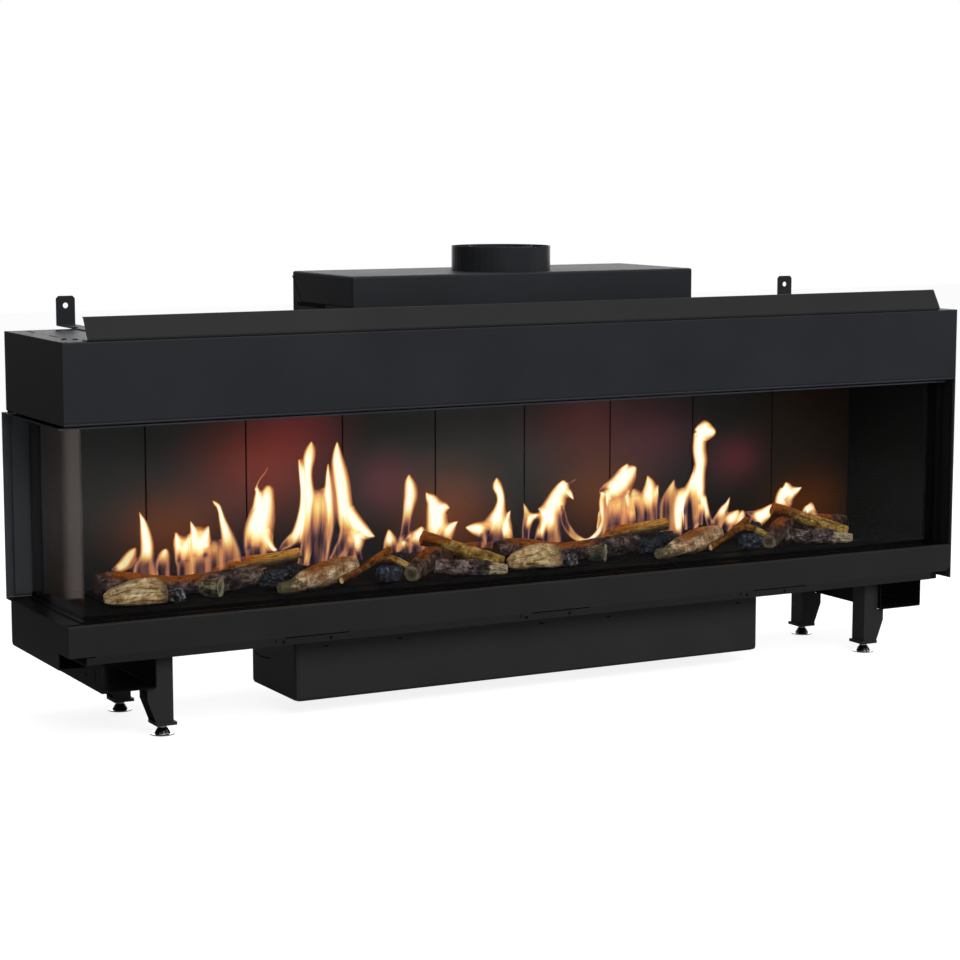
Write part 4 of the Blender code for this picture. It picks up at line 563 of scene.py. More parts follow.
# painted light: the head frame's front 3 mm eight times lighter, where the hood shades it
COAT_FRAME = powder_coat("powder_coat_frame", *BLACK,
                         edge=("Y", HEAD_FRAME_FRONT, [(0.0, 8.0), (0.15, 8.0), (0.20, 1.0)]))
# painted light: the right casing side's front 3 mm three times lighter, where its inner face lies in shade
COAT_SIDE = powder_coat("powder_coat_side", *BLACK, edge=("Y", FRONT, [(0.0, 3.0), (0.15, 3.0), (0.20, 1.0)]))
COAT_LOW = powder_coat("powder_coat_low", (36, 36, 36), (42, 42, 42), 0.52, 0.16)
COAT_LEG = powder_coat("powder_coat_leg", (42, 42, 42), (50, 50, 50), 0.52, 0.20)
COAT_TOP = powder_coat("powder_coat_top", (32, 34, 38), (40, 42, 47), 0.46, 0.19)
# a lighter copy of the black coat: painted light on the side post, which sits in the hood's shade; the
# firebox back shares it
COAT_POST = powder_coat("powder_coat_post", (66, 68, 72), (76, 78, 82), 0.50, 0.22)
COAT_FLUE = powder_coat("powder_coat_flue", (33, 34, 37), (43, 44, 48), 0.36, 0.12)
COAT_SILL = powder_coat("powder_coat_sill", (9, 7, 7), (14, 11, 11), 0.34, 0.14, relief=0.00001)
COAT_DARK = powder_coat("powder_coat_dark", (7, 7, 7), (12, 12, 12), 0.55, 0.12)
SOOT = powder_coat("soot_coat", (10, 9, 9), (14, 13, 13), 0.66, 0.08, 900.0, 0.00002)
PLASTIC = powder_coat("moulded_black", (22, 22, 23), (28, 28, 29), 0.38, 0.5, 700.0)
RECEIVER = powder_coat("moulded_grey", (52, 53, 55), (62, 63, 65), 0.45, 0.5, 700.0)
BLACKED = powder_coat("shadow_black", (4, 4, 4), (7, 7, 7), 0.7, 0.1, 900.0)
CHROME = metal("foot_chrome", (0.75, 0.76, 0.78), 0.14)
STEEL = metal("burner_metal", (0.16, 0.15, 0.14), 0.45)
ALLOY = metal("valve_cast", (0.50, 0.50, 0.50), 0.42, 300.0)
COPPER = metal("copper_drawn", (0.72, 0.36, 0.22), 0.28)
LINING = lining_material()
GLASS = glass_material()
FLAME = flame_material()
FOOT = foot_material()
BARK = painted("log_bark", 300.0, 0.0010, 0.85, 0.06)
WOOD = painted("log_wood", 330.0, 0.0009, 0.85, 0.06, (0.22, 1.0, 1.0))
COAL = painted("coal", 190.0, 0.0010, 0.36, 0.32)

# finish for each material that the solids name
FINISH = {"powder_black": COAT, "soot_black": SOOT, "foot_steel": CHROME, "ceramic_glass": GLASS,
          "burner_steel": STEEL, "valve_alloy": ALLOY, "knob_plastic": PLASTIC,
          "receiver_plastic": RECEIVER, "copper_pipe": COPPER, "log_ceramic": BARK}

# nodes with a finish of their own
SPECIAL = {
    "back_lining": LINING, "hood_front_panel": COAT_HOOD, "head_frame": COAT_FRAME,
    "right_casing_side": COAT_SIDE, "hood_top_plate": COAT_TOP, "outer_flue_collar": COAT_FLUE,
    "control_box": COAT_LEG, "right_stile": STILE,
    **dict.fromkeys(("sill_frame", "glass_retainer"), COAT_SILL),
    **dict.fromkeys(("duct_rail_left", "duct_rail_right", "base_tray", "right_liner"), COAT_DARK),
    **dict.fromkeys(("skirt_front_panel", "skirt_side_panel", "installation_flange"), COAT_LOW),
    **dict.fromkeys(("burner_plate", "burner_tray"), SOOT),
    **dict.fromkeys(("side_post", "firebox_back"), COAT_POST),
}
for corner in ("front_left", "front_right", "rear_left", "rear_right"):
    SPECIAL[f"leg_{corner}"] = COAT_LEG
    SPECIAL[f"levelling_foot_{corner}"] = FOOT

# sheet parts whose folds show a thin line of light
EDGED = ("hood_front_panel", "hood_side_panel", "flue_box", "skirt_front_panel", "control_box", "head_frame")


def dress_nodes():
    """Give every node of the frame its finish."""
    for name, thing in nodes.items():
        for slot in thing.material_slots:
            plain = slot.material.name.split(".")[0] if slot.material else "powder_black"
            slot.material = FINISH.get(plain, COAT)
        if name in SPECIAL:
            thing.material_slots[0].material = SPECIAL[name]
        if name in EDGED:
            edge = thing.modifiers.new("folded_edge", "BEVEL")
            edge.width = FOLD
            edge.segments = 2
            edge.limit_method = "ANGLE"
            edge.angle_limit = math.radians(50)
            edge.harden_normals = True


def add_piece(name, mesh, finish, rounded=False):
    """Link a mesh as a piece of the scene and let it ride on the casing."""
    if rounded:
        mesh.polygons.foreach_set("use_smooth", [True] * len(mesh.polygons))
    mesh.materials.append(finish)
    thing = bpy.data.objects.new(name, mesh)
    scene.collection.objects.link(thing)
    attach(thing, "casing")
    return thing


def work_piece(name, bm, finish, rounded=False):
    """Make a piece from a mesh that was worked on."""
    bmesh.ops.recalc_face_normals(bm, faces=bm.faces)
    mesh = bpy.data.meshes.new(name)
    bm.to_mesh(mesh)
    bm.free()
    return add_piece(name, mesh, finish, rounded)


def bridge(bm, rows):
    """Faces from each row of points to the next, and one over each end."""
    for near, far in zip(rows, rows[1:]):
        for a in range(len(near)):
            b = (a + 1) % len(near)
            bm.faces.new((near[a], near[b], far[b], far[a]))
    bm.faces.new(list(reversed(rows[0])))
    bm.faces.new(rows[-1])


def curve_points(points, step):
    """A smooth line through points of any length, at about even spacing."""
    line = []
    for index in range(len(points) - 1):
        p0 = points[max(index - 1, 0)]
        p1, p2 = points[index], points[index + 1]
        p3 = points[min(index + 2, len(points) - 1)]
        count = max(2, round(math.dist(p1[:3], p2[:3]) / step))
        for k in range(count):
            t = k / count
            line.append(tuple(0.5 * (2 * b + (c - a) * t + (2 * a - 5 * b + 4 * c - d) * t * t
                                     + (3 * b - a - 3 * c + d) * t ** 3)
                              for a, b, c, d in zip(p0, p1, p2, p3)))
    line.append(tuple(points[-1]))
    return line


def crack(kind, s, turn, seed):
    """How much a crack opens at one point of a log's skin, from 0 to 1."""
    pitch, turns, second, third, strength, bend_pitch, bend_turns, width = CRACKS.get(kind, BARK_CRACKS)
    c, d = math.cos(turn), math.sin(turn)
    wave = waver(s * pitch + seed, c * turns + seed * second, d * turns + seed * third)
    bend = strength * waver(s * bend_pitch, c * bend_turns, d * bend_turns)
    return 1.0 - ramp(0.0, width, abs(wave + 0.4 * bend))


def log_shape(kind, turn, s, seed):
    """How far a log's skin stands from its mean radius, as a share of that radius."""
    c, d = math.cos(turn), math.sin(turn)
    lumps = waver(s * 16, c * 1.3, d * 1.3 + seed)
    open_by = crack(kind, s, turn, seed)
    if kind in ("bark", "partner", "rear"):
        return 0.11 * lumps + 0.05 * waver(s * 70 + seed, c * 5.0, d * 5.0) - 0.10 * open_by
    if kind == "split":
        strata = waver(s * 9 + seed, d * 7.0, c * 2.0)
        flat = 0.16 * math.cos(3 * turn + 0.6 + 2 * s) - 0.10 * math.cos(5 * turn)
        return 0.22 * lumps + 0.17 * round(strata * 3) / 3 + flat - 0.14 * open_by
    if kind == "chunk":
        rings = 2.2 * waver(s * 120 + seed, c * 1.2, d * 1.2)
        knot = math.exp(-((s - 0.062) / 0.009) ** 2) * max(0.0, -math.cos(turn - 0.5)) * 0.32
        return 0.20 * lumps + 0.035 * rings - knot - 0.07 * open_by
    if kind == "rough":
        return 0.30 * waver(s * 80 + seed, c * 2.5, d * 2.5) + 0.14 * lumps - 0.24 * open_by
    if kind == "stub":
        return 0.20 * lumps - 0.10 * open_by
    return 0.15 * lumps + 0.03 * math.sin(4 * turn + s * 30) - 0.06 * open_by


# colours of each kind of log from dark to light, then of its sawn ends
TONES = {kind: [linear(*tone) for tone in tones] for kind, tones in {
    "bark": ((38, 30, 30), (90, 74, 72), (156, 134, 126), (84, 68, 62)),
    "partner": ((44, 34, 30), (88, 68, 62), (132, 106, 94), (160, 146, 118)),
    "rear": ((40, 30, 28), (78, 60, 56), (116, 92, 82), (76, 60, 54)),
    "split": ((150, 116, 70), (230, 196, 140), (252, 230, 186), (220, 190, 136)),
    "chunk": ((136, 92, 60), (222, 182, 136), (250, 232, 200), (160, 156, 124)),
    "branch": ((88, 62, 36), (160, 118, 62), (206, 164, 92), (236, 188, 96)),
    "cross": ((110, 78, 34), (190, 150, 74), (228, 194, 112), (196, 124, 54)),
    "twig": ((70, 38, 14), (132, 78, 32), (176, 116, 54), (250, 220, 150)),
    "fork": ((78, 44, 18), (140, 88, 38), (186, 132, 66), (250, 220, 150)),
    "rough": ((46, 38, 40), (120, 100, 98), (196, 174, 166), (240, 228, 200)),
    "stub": ((62, 60, 48), (130, 124, 100), (188, 180, 150), (176, 172, 142)),
}.items()}
# painted light of the flames on the logs: the orange they light a skin with, and the glow painted into it
FLAME_LIT = linear(164, 92, 24)
GLOWING = linear(78, 34, 3)


def log_paint(kind, along, turn, up, place, seed, length):
    """Base colour and own light of one point on a log's skin."""
    low, mid, high, _ = TONES[kind]
    c, d = math.cos(turn), math.sin(turn)
    grain = noise.noise(place * 60 + Vector((seed, 0, 0)))
    grain += 0.7 * noise.noise(place * 190 + Vector((seed, 5, 0)))
    if kind == "split":
        grain += 0.5 * waver(along * 2, c * 9, d * 9 + seed)
    if kind == "chunk":
        grain += 0.6 * waver(along * length * 95 + seed, c * 1.5, d * 1.5)
    colour = blend(low, mid, 0.75 + grain) if grain < 0 else blend(mid, high, grain * 1.3)
    # heat marks where the flames light a log, mostly on its top: painted light, as orange colour and own glow
    heat = 0.0
    if kind in ("bark", "rear"):
        heat = ramp(0.34, 0.74, up + 0.30 * grain) * ramp(0.03, 0.12, along) * (1 - ramp(0.56, 0.74, along))
        # painted shade on the underside
        colour = blend(colour, linear(46, 42, 50), 0.6 * ramp(0.1, -0.6, up))
        dust = ramp(0.45, 0.8, grain + 0.2) * ramp(0.5, 0.9, along)
        colour = blend(colour, linear(140, 124, 104), 0.5 * dust)
    elif kind == "branch":
        heat = ramp(0.05, 0.55, up + 0.2 * grain) * (1.0 - ramp(0.45, 0.75, along))
        # painted shade on the underside, then the right end's own tan colour, faded out where the underside
        # is shaded
        colour = blend(colour, linear(84, 66, 54), 0.9 * ramp(0.10, -0.25, up))
        colour = blend(colour, linear(206, 158, 76), 0.8 * ramp(0.45, 0.7, along) * ramp(-0.4, 0.3, up))
    elif kind == "partner":
        heat = 0.9 * ramp(0.50, 0.9, up + 0.25 * grain) * ramp(0.15, 0.5, along)
    elif kind == "cross":
        heat = 0.9 * (1.0 - ramp(0.14, 0.34, along + 0.1 * grain)) * ramp(-0.4, 0.3, up)
        colour = blend(linear(92, 48, 18), colour, ramp(0.14, 0.42, along + 0.1 * grain))
    elif kind == "chunk":
        heat = ramp(0.45, 0.85, up + 0.30 * grain) * ramp(0.25, 0.4, along) * (1 - 0.6 * ramp(0.6, 1, along))
        colour = blend(linear(104, 98, 72), colour, ramp(0.10, 0.30, along + 0.15 * grain))
        # painted shade on the underside
        colour = blend(colour, linear(96, 62, 40), 0.5 * ramp(-0.2, -0.8, up))
    elif kind == "twig":
        heat = 0.7 * ramp(0.3, 0.9, up + 0.2 * grain) * ramp(0.35, 0.95, along)
    elif kind == "fork":
        colour = blend(colour, linear(204, 168, 96), ramp(0.38, 0.46, along))
    elif kind == "rough":
        colour = blend(colour, linear(212, 196, 160), ramp(0.66, 0.84, along + 0.15 * grain))
    elif kind == "split":
        colour = blend(colour, linear(70, 56, 44), 0.85 * ramp(0.78, 0.98, along + 0.12 * grain))
    # painted shade in the cracks, which also get less of the flames' painted light
    open_by = crack(kind, along * length, turn, seed)
    heat *= 1.0 - 0.75 * open_by
    colour = blend(colour, tuple(0.22 * c for c in low), 0.85 * open_by)
    colour = blend(colour, FLAME_LIT, 0.9 * heat)
    return colour, blend((0, 0, 0), GLOWING, heat * (0.45 + 0.3 * grain))


def log_piece(name, kind, points, seed, shift):
    """A ceramic log as rings along a bent line, carved and painted point by point."""
    step, sides = (TWIG_STEP, TWIG_SIDES) if kind in SLIM else (LOG_STEP, LOG_SIDES)
    line = curve_points([(LEFT + x / 1000 + shift, FRONT + y / 1000, SEAT + z / 1000, r / 1000)
                         for x, y, z, r in points], step)
    last = len(line) - 1
    length = sum(math.dist(a[:3], b[:3]) for a, b in zip(line, line[1:]))
    bm = bmesh.new()
    paint = bm.verts.layers.float_color.new("paint")
    warm = bm.verts.layers.float_color.new("heat")

    def ring(index, scale=1.0, push=0.0, end=0):
        x, y, z, radius = line[index]
        before, after = line[max(index - 1, 0)], line[min(index + 1, last)]
        run = (Vector(after[:3]) - Vector(before[:3])).normalized()
        across = run.cross(Vector((0, 0, 1))).normalized()
        up = across.cross(run).normalized()
        along = index / last
        row = []
        for side in range(sides):
            turn = 2 * math.pi * side / sides
            out = across * math.cos(turn) + up * math.sin(turn)
            reach = radius * (1 + log_shape(kind, turn, along * length, seed)) * scale
            ragged = 0.10 * radius * waver(turn * 2, seed, 3.0 * end + scale * 4) if end else 0.0
            place = Vector((x, y, z)) + out * reach + run * (push * radius + ragged)
            place.z = max(place.z, SEAT + SEAT_GAP)
            colour, glow = log_paint(kind, along, turn, out.z, place, seed, length)
            if end:
                rim = ramp(0.90, 1.0, scale)
                rings = 0.5 + 0.5 * math.sin(scale * 26 + 2 * noise.noise(place * 90))
                colour = blend(blend(TONES[kind][3], (0.02, 0.015, 0.01), 0.25 * rings), colour, rim * 0.6)
                # painted shade deep in a hollow end
                if kind in HOLLOW:
                    colour = blend(colour, linear(40, 34, 28), 0.75 * (1 - ramp(0.25, 0.7, scale)))
                glow = blend(glow, (0, 0, 0), 1 - rim)
            vert = bm.verts.new(place)
            vert[paint] = (*colour, 1.0)
            vert[warm] = (*glow, 1.0)
            row.append(vert)
        return row

    lean = 0.16 if kind == "stub" else 0.0
    dish = -0.30 if kind in HOLLOW else 0.10
    rows = [ring(0, scale, -0.10 * (1 - (1 - scale) ** 2) + lean * (1 - scale), -1)
            for scale in reversed(CAP_SCALES)]
    rows += [ring(index) for index in range(last + 1)]
    rows += [ring(last, scale, dish * (1 - scale) + 0.06, 1) for scale in CAP_SCALES]
    bridge(bm, rows)
    return work_piece(name, bm, WOOD if kind in SPLIT_WOOD else BARK, True)


def coal_piece(name, centre, size, pale, seed, shift):
    """A lump of charcoal, broken into blocks by cracks, with painted shade in the cracks and pale marks on
    the blocks: own crackle on the white coal, painted glints on the others.
    """
    bm = bmesh.new()
    bmesh.ops.create_icosphere(bm, subdivisions=5, radius=1.0)
    paint = bm.verts.layers.float_color.new("paint")
    warm = bm.verts.layers.float_color.new("heat")
    x, y, z = (value / 1000 for value in centre)
    middle = Vector((LEFT + x + shift, FRONT + y, SEAT + z))
    scale = 1.7 if pale > 0.9 else 1.15
    crackle_and_glint = linear(206, 204, 204) if pale > 0.9 else linear(150, 168, 206)
    for vert in bm.verts:
        out = vert.co.normalized()
        square = Vector([math.copysign(abs(c) ** 0.75, c) for c in out])
        spot = Vector((out.x * 4.6, out.y * 3.0, out.z * 3.0)) * scale + Vector((seed, 0, 0))
        cell = noise.voronoi(spot)[0]
        gap = cell[1] - cell[0]
        whole = ramp(0.0, 0.22, gap)
        lump = noise.noise(out * 1.7 + Vector((0, seed, 0)))
        reach = 0.86 + 0.20 * lump + 0.20 * (whole - 1) - 0.10 * cell[0]
        place = middle + Vector([a * b / 1000 * reach for a, b in zip(square, size)])
        place.z = max(place.z, SEAT + SEAT_GAP)
        grain = noise.noise(place * 130)
        colour = blend(linear(7, 8, 12), linear(36, 42, 62), 0.40 + grain)
        # pale marks along the block edges and on their faces: the white coal's own crackle, painted glints on
        # the other coals; painted shade darkens the cracks between blocks
        edge = ramp(0.10, 0.26, gap) * (1 - ramp(0.26, 0.46, gap))
        white = pale * (0.85 * edge * ramp(-0.1, 0.3, grain) + 0.4 * ramp(0.25, 0.5, grain) * whole)
        colour = blend(blend(colour, (0.002, 0.002, 0.003), 0.9 * (1 - whole)), crackle_and_glint, white)
        vert.co = place
        vert[paint] = (*colour, 1.0)
        vert[warm] = (0, 0, 0, 1.0)
    return work_piece(name, bm, COAL, True)


def log_sets():
    """The two log sets, with their twigs, broken stubs and charcoal. Gives back the logs."""
    logs = []
    for row, side in enumerate(("left", "right")):
        shift = row * SET_SHIFT
        for count, (kind, points) in enumerate(LOGS.items()):
            piece = log_piece(f"{kind}_log_{side}", kind, points, 3.1 * count + row * 0.37, shift)
            if kind in REPLACED:
                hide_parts(f"log_{side}_{REPLACED[kind]}")
            logs.append(piece)
        for count, (kind, (centre, size, pale)) in enumerate(COALS.items()):
            piece = coal_piece(f"{kind}_coal_{side}", centre, size, pale, 1.7 * count + row, shift)
    return logs


def flame_lines():
    """The centre line of every flame in small steps: place, half width, heat, cool share, height up it."""
    lines = []
    for heat, cool, depth, points in FLAMES:
        line = curve_points([(x / 1000, depth / 1000, z / 1000, 1.05 * w / 1000 + 0.0008)
                             for x, z, w in points], FLAME_STEP)
        last = len(line) - 1
        lines.append(np.array([(x, y, z, max(w, 0.0003), heat, cool, k / last)
                               for k, (x, y, z, w) in enumerate(line)]))
    return lines


def flame_field(x, z, lines):
    """How deep points lie inside the joined flames, and the width, heat, cool share and height there."""
    depths, values = [], []
    for line in lines:
        inside = line[None, :, 3] - np.hypot(x[:, None] - line[None, :, 0], z[:, None] - line[None, :, 2])
        depths.append(inside.max(1))
        values.append(line[inside.argmax(1)][:, 3:7])
    share = np.exp(np.clip(np.array(depths), -0.03, 0.03) * FLAME_JOIN)
    total = share.sum(0)
    mixed = (share[:, :, None] * np.array(values)).sum(0) / total[:, None]
    return np.log(total) / FLAME_JOIN, mixed


FLAME_RAMP = ((0.00, linear(14, 16, 40)), (0.12, linear(44, 32, 48)), (0.26, linear(128, 84, 76)),
              (0.42, linear(206, 134, 92)), (0.56, linear(242, 180, 108)), (0.70, linear(255, 222, 134)),
              (0.84, linear(255, 246, 190)), (1.00, linear(255, 253, 240)))
FLAME_EDGE = linear(226, 138, 66)
FLAME_FOOT = linear(18, 36, 92)


def flame_tint(x, z, lines):
    """Colour and cover of points of the fire: dark arches low down, strands beside them, bright cores."""
    depth, mixed = flame_field(x, z, lines)
    width, heat, cool, rise = mixed.T
    share = depth / np.maximum(width, 0.0035)
    edge = smooth(0.0, 0.38, share)
    core = smooth(0.22, 0.75, share)
    cool = np.clip(cool * 1.25 + 0.06, 0.0, 1.0)
    lift = smooth(0.35 * cool, 1.20 * cool + 0.02, rise)
    streak = np.array([0.65 * waver(a * 85, 7.0, b * 9) + 0.35 * waver(a * 190, 3.0, b * 22)
                       for a, b in zip(x, z)])
    upper = (0.24 + 0.36 * edge + 0.50 * core) * (0.60 + 0.40 * heat)
    lower = 0.11 + 0.38 * edge * (1 - 0.88 * core)
    warm = lower * (1 - lift) + upper * lift + streak * (0.12 + 0.26 * (1 - lift))
    warm = np.clip(warm * (1 - 0.30 * smooth(0.84, 1.0, rise)), 0.0, 1.0)
    stops, colours = zip(*FLAME_RAMP)
    tint = np.stack([np.interp(warm, stops, channel) for channel in zip(*colours)], 1)
    rim = (1 - smooth(0.0006, 0.0034, depth)) * lift
    low = (1 - smooth(0.0010, 0.0042, depth)) * (1 - smooth(0.5 * cool, 1.4 * cool + 0.05, rise))
    for amount, colour in ((rim, FLAME_EDGE), (low, FLAME_FOOT)):
        amount = 0.7 * amount[:, None]
        tint = tint * (1 - amount) + np.array(colour) * amount
    cover = smooth(-0.0006, 0.0022, depth) * (0.60 + 0.40 * lift) * np.clip(0.55 + 0.5 * heat, 0.0, 1.0)
    return np.column_stack([tint, np.clip(cover, 0.0, 0.98)])


def flames():
    """Each flame is a curved leaf across the fire with a narrower one along its depth."""
    lines = flame_lines()
    row = FLAME_ACROSS + 1
    for index, line in enumerate(lines):
        low, high = line[:, 0].min() - 0.05, line[:, 0].max() + 0.05
        near = [other for other in lines if other[:, 0].max() > low and other[:, 0].min() < high]
        spots = [tuple(station[:4]) for station in line]
        tip, narrow = Vector(spots[-1][:3]), spots[-1][3]
        run = (tip - Vector(spots[-3][:3])).normalized()
        spots += [(*(tip + run * (step * narrow + 0.001)), narrow) for step in (0.35, 0.65, 0.9, 1.1)]
        broad, deep = [], []
        for k, (x, y, z, w) in enumerate(spots):
            before, after = spots[max(k - 1, 0)], spots[min(k + 1, len(spots) - 1)]
            tx, tz = after[0] - before[0], after[2] - before[2]
            wide = (w + FLAME_RIM) / (math.hypot(tx, tz) or 1.0)
            for c in range(row):
                u = 2 * c / FLAME_ACROSS - 1
                broad.append((x + tz * u * wide, y + 0.35 * w * (1 - u * u), z - tx * u * wide))
                deep.append((x + 0.15 * w * u, y + 0.5 * w * u, z))
        places = np.array(broad + deep)
        colours = flame_tint(places[:, 0], places[:, 2], near)
        colours[len(broad):, 3] *= 0.2
        faces = [(a, a + 1, a + 1 + row, a + row) for start in (0, len(broad)) for k in range(len(spots) - 1)
                 for a in range(start + k * row, start + k * row + FLAME_ACROSS)]
        mesh = bpy.data.meshes.new("flame")
        mesh.from_pydata(broad + deep, [], faces)
        layer = mesh.color_attributes.new("paint", "FLOAT_COLOR", "POINT")
        layer.data.foreach_set("color", colours.astype(np.float32).ravel())
        leaf = add_piece(f"flame_{index:02d}", mesh, FLAME, True)
        leaf.visible_diffuse = False
        leaf.visible_shadow = False


def turned(bm, place, axis, profile, sides=20, phase=0.0):
    """Add a body of rings along an axis, closed at both ends, to a mesh."""
    out = Vector(axis)
    first = Vector((0, 1, 0)) if out.x else Vector((1, 0, 0))
    second = out.cross(first)
    turns = [phase + 2 * math.pi * s / sides for s in range(sides)]
    around = [first * math.cos(turn) + second * math.sin(turn) for turn in turns]
    bridge(bm, [[bm.verts.new(Vector(place) + out * height + spoke * radius) for spoke in around]
                for radius, height in profile])


def screw(name, place):
    """A hexagon head on a round flange, pointing up."""
    bm = bmesh.new()
    r, h = SCREW_RADIUS, SCREW_RISE
    turned(bm, place, UP, [(r * 1.35, 0.0), (r * 1.38, h * 0.22), (r * 1.05, h * 0.36)])
    turned(bm, place, UP, [(r, h * 0.3), (r, h * 0.88), (r * 0.85, h)], 6, 0.3)
    work_piece(name, bm, PLASTIC)


def hole(name, place, axis, profile):
    """A dark disc that stands for a drilled hole: painted shade inside it."""
    bm = bmesh.new()
    turned(bm, place, axis, profile, HOLE_SIDES)
    work_piece(name, bm, BLACKED)


def mark(name, low, high):
    """A thin dark piece with rounded corners: painted shade in a notch or tick."""
    bm = bmesh.new()
    bmesh.ops.create_cube(bm, size=1.0)
    for vert in bm.verts:
        vert.co = Vector([a + (b - a) * (c + 0.5) for a, b, c in zip(low, high, vert.co)])
    thin = min(b - a for a, b in zip(low, high))
    bmesh.ops.bevel(bm, geom=bm.edges[:], offset=thin * 0.35, segments=2, profile=0.5, affect="EDGES")
    work_piece(name, bm, BLACKED)


def groove(name, points, width):
    """A thin dark line of painted shade along points on a face that looks left, standing a little out of it.
    """
    out = Vector(LEFTWARD)
    low, high = out * -GROOVE_SINK, out * GROOVE_RISE
    spots = [Vector(point) for point in points]
    bm = bmesh.new()
    rows = []
    for k, spot in enumerate(spots):
        run = spots[min(k + 1, len(spots) - 1)] - spots[max(k - 1, 0)]
        side = run.cross(out).normalized() * width / 2
        rows.append([bm.verts.new(spot + corner)
                     for corner in (low + side, high + side * 0.8, high - side * 0.8, low - side)])
    bridge(bm, rows)
    work_piece(name, bm, BLACKED)


def side_marks():
    """Painted shade in seams, slots and a hole on the faces that look left."""
    for name, (node, width, points) in GROOVES.items():
        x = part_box(node)[0].x
        groove(name, [(x, FRONT + y, z) for y, z in points], width)
    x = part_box("duct_rail_left")[0].x
    hole("rail_hole_shade", (x + 0.0002, FRONT + 0.101, 0.1163), LEFTWARD, RAIL_HOLE)


def fittings():
    """Screw heads, and painted shade in the ticks, holes and notches that the sheet parts carry."""
    for number, (x, y) in enumerate(((0.0893, 0.2864), (0.0288, 0.0739), (0.0463, 0.0646), (0.120, 0.300))):
        screw(f"top_screw_{number}", (LEFT + x, FRONT + y, HOOD_TOP))
    for number, x in enumerate((0.140, 0.163)):
        for end, side in (("left", -1), ("right", 1)):
            place = (side * (RIGHT - x), FRONT + 0.330 - 0.02 * number, BRACKET_TOP)
            screw(f"bracket_screw_{number}_{end}", place)
    for number, x in enumerate((0.4021, 0.9262, 1.4484)):
        low, high = (LEFT + x, FRONT + 0.0002, 0.1602), (LEFT + x + 0.0022, FRONT + 0.0010, 0.1664)
        mark(f"lip_tick_shade_{number}", low, high)
    for number, x in enumerate((0.4188, 0.5164, 0.940, 1.0393, 1.4659, 1.5608)):
        hole(f"lip_hole_shade_{number}", (LEFT + x, FRONT + 0.0008, 0.1600), (0, -1, 0), LIP_HOLE)
    for number, x in enumerate((0.5313, 0.6896, 1.0071, 1.1653, 1.4824)):
        low, high = (LEFT + x - 0.005, FRONT + 0.0576, 0.1305), (LEFT + x + 0.005, FRONT + 0.0586, 0.1335)
        mark(f"box_notch_shade_{number}", low, high)


def area_lamp(name, place, aim, wide, high, power, colour=(1, 1, 1), only=None):
    """A soft lamp towards its aim, or straight down, that may light the things of one collection only."""
    data = bpy.data.lights.new(name, "AREA")
    data.shape = "RECTANGLE"
    data.size = wide
    data.size_y = high
    data.energy = power
    data.color = colour
    lamp = bpy.data.objects.new(name, data)
    lamp.location = place
    if aim:
        lamp.rotation_euler = (Vector(aim) - Vector(place)).to_track_quat("-Z", "Y").to_euler()
    lamp.visible_camera = False
    scene.collection.objects.link(lamp)
    if only:
        lamp.light_linking.receiver_collection = only
    return lamp


def collected(name, things):
    """A collection of some things, for a lamp that lights only them."""
    lit = bpy.data.collections.new(name)
    for thing in things:
        lit.objects.link(thing)
    return lit


def quad(name, corners, finish):
    """A flat surface of the studio."""
    mesh = bpy.data.meshes.new(name)
    mesh.from_pydata(corners, [], [(0, 1, 2, 3)])
    mesh.materials.append(finish)
    thing = bpy.data.objects.new(name, mesh)
    scene.collection.objects.link(thing)
    return thing


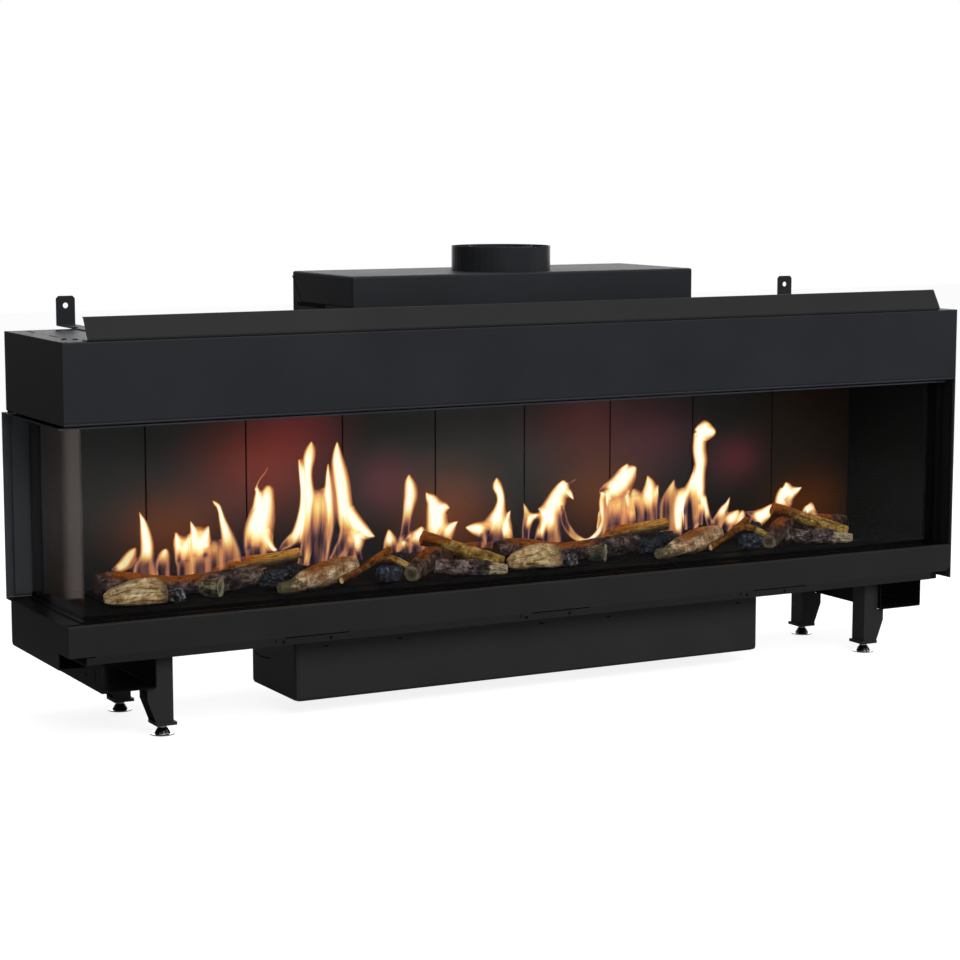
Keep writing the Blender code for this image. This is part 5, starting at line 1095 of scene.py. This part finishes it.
def studio():
    """Camera, pale floor, brown flags, soft lamps and world."""
    camera = bpy.data.objects.new("camera", bpy.data.cameras.new("camera"))
    camera.data.lens = CAMERA_LENS
    camera.data.sensor_width = 36.0
    camera.data.clip_end = 60.0
    camera.location = CAMERA_PLACE
    camera.rotation_euler = (math.pi / 2 + CAMERA_TILT, 0.0, CAMERA_TURN)
    scene.collection.objects.link(camera)
    scene.camera = camera

    pale = material("floor_pale")
    pale.set(Base_Color=pale.ramp(pale.noise(3.0, 2.0), [(0.0, 0.44), (1.0, 0.48)]), Roughness=0.9,
             Specular_IOR_Level=0.0)
    plain = pale.shader.outputs["BSDF"]
    white = pale.add("ShaderNodeEmission", {"Color": 1.0, "Strength": 0.86}).outputs["Emission"]
    both = pale.add("ShaderNodeAddShader", {0: plain, 1: white}).outputs["Shader"]
    pale.surface(pale.either(pale.seen(), plain, both))
    floor = quad("floor", FLOOR, pale.owner)
    floor.location.z = -0.0006

    brown = material("flag_brown")
    brown.set(Base_Color=brown.ramp(brown.noise(2.0), [(0.0, linear(70, 52, 44)), (1.0, linear(84, 64, 54))]),
              Roughness=1.0, Specular_IOR_Level=0.0)
    for name, corners in FLAGS.items():
        flag = quad(name, corners, brown.owner)
        flag.visible_camera = False
        flag.visible_diffuse = False
        flag.visible_shadow = False
        flag.visible_transmission = False

    sky = Tree(bpy.data.worlds.new("studio"))
    scene.world = sky.owner
    sky.set(Color=COOL, Strength=0.24)
    shine = sky.add("ShaderNodeBackground", {"Color": COOL, "Strength": 0.42}).outputs["Background"]
    bright = sky.add("ShaderNodeBackground", {"Color": 1.0, "Strength": 1.0}).outputs["Background"]
    glossy = sky.add("ShaderNodeLightPath").outputs["Is Glossy Ray"]
    sky.surface(sky.either(sky.seen(), sky.either(glossy, sky.shader.outputs["Background"], shine), bright))

    for name, values in LAMPS.items():
        area_lamp(name, *values)
    side_glass = collected("side_glass_only", [nodes["side_glass"]])
    for name, values in EDGE_LAMPS.items():
        area_lamp(name, *values, (1.0, 0.84, 0.80), side_glass)
    scene.view_settings.view_transform = "Standard"


def fire_glow(logs):
    """The light that the fire throws down on its logs, and on nothing else."""
    lamp = area_lamp("fire_glow", (0.02, -0.03, 0.38), None, 1.80, 0.05, 0.55, (1.0, 0.56, 0.20),
                     collected("logs_only", logs))
    lamp.visible_glossy = False


studio()
dress_nodes()
log_pieces = log_sets()
flames()
fittings()
side_marks()
fire_glow(log_pieces)
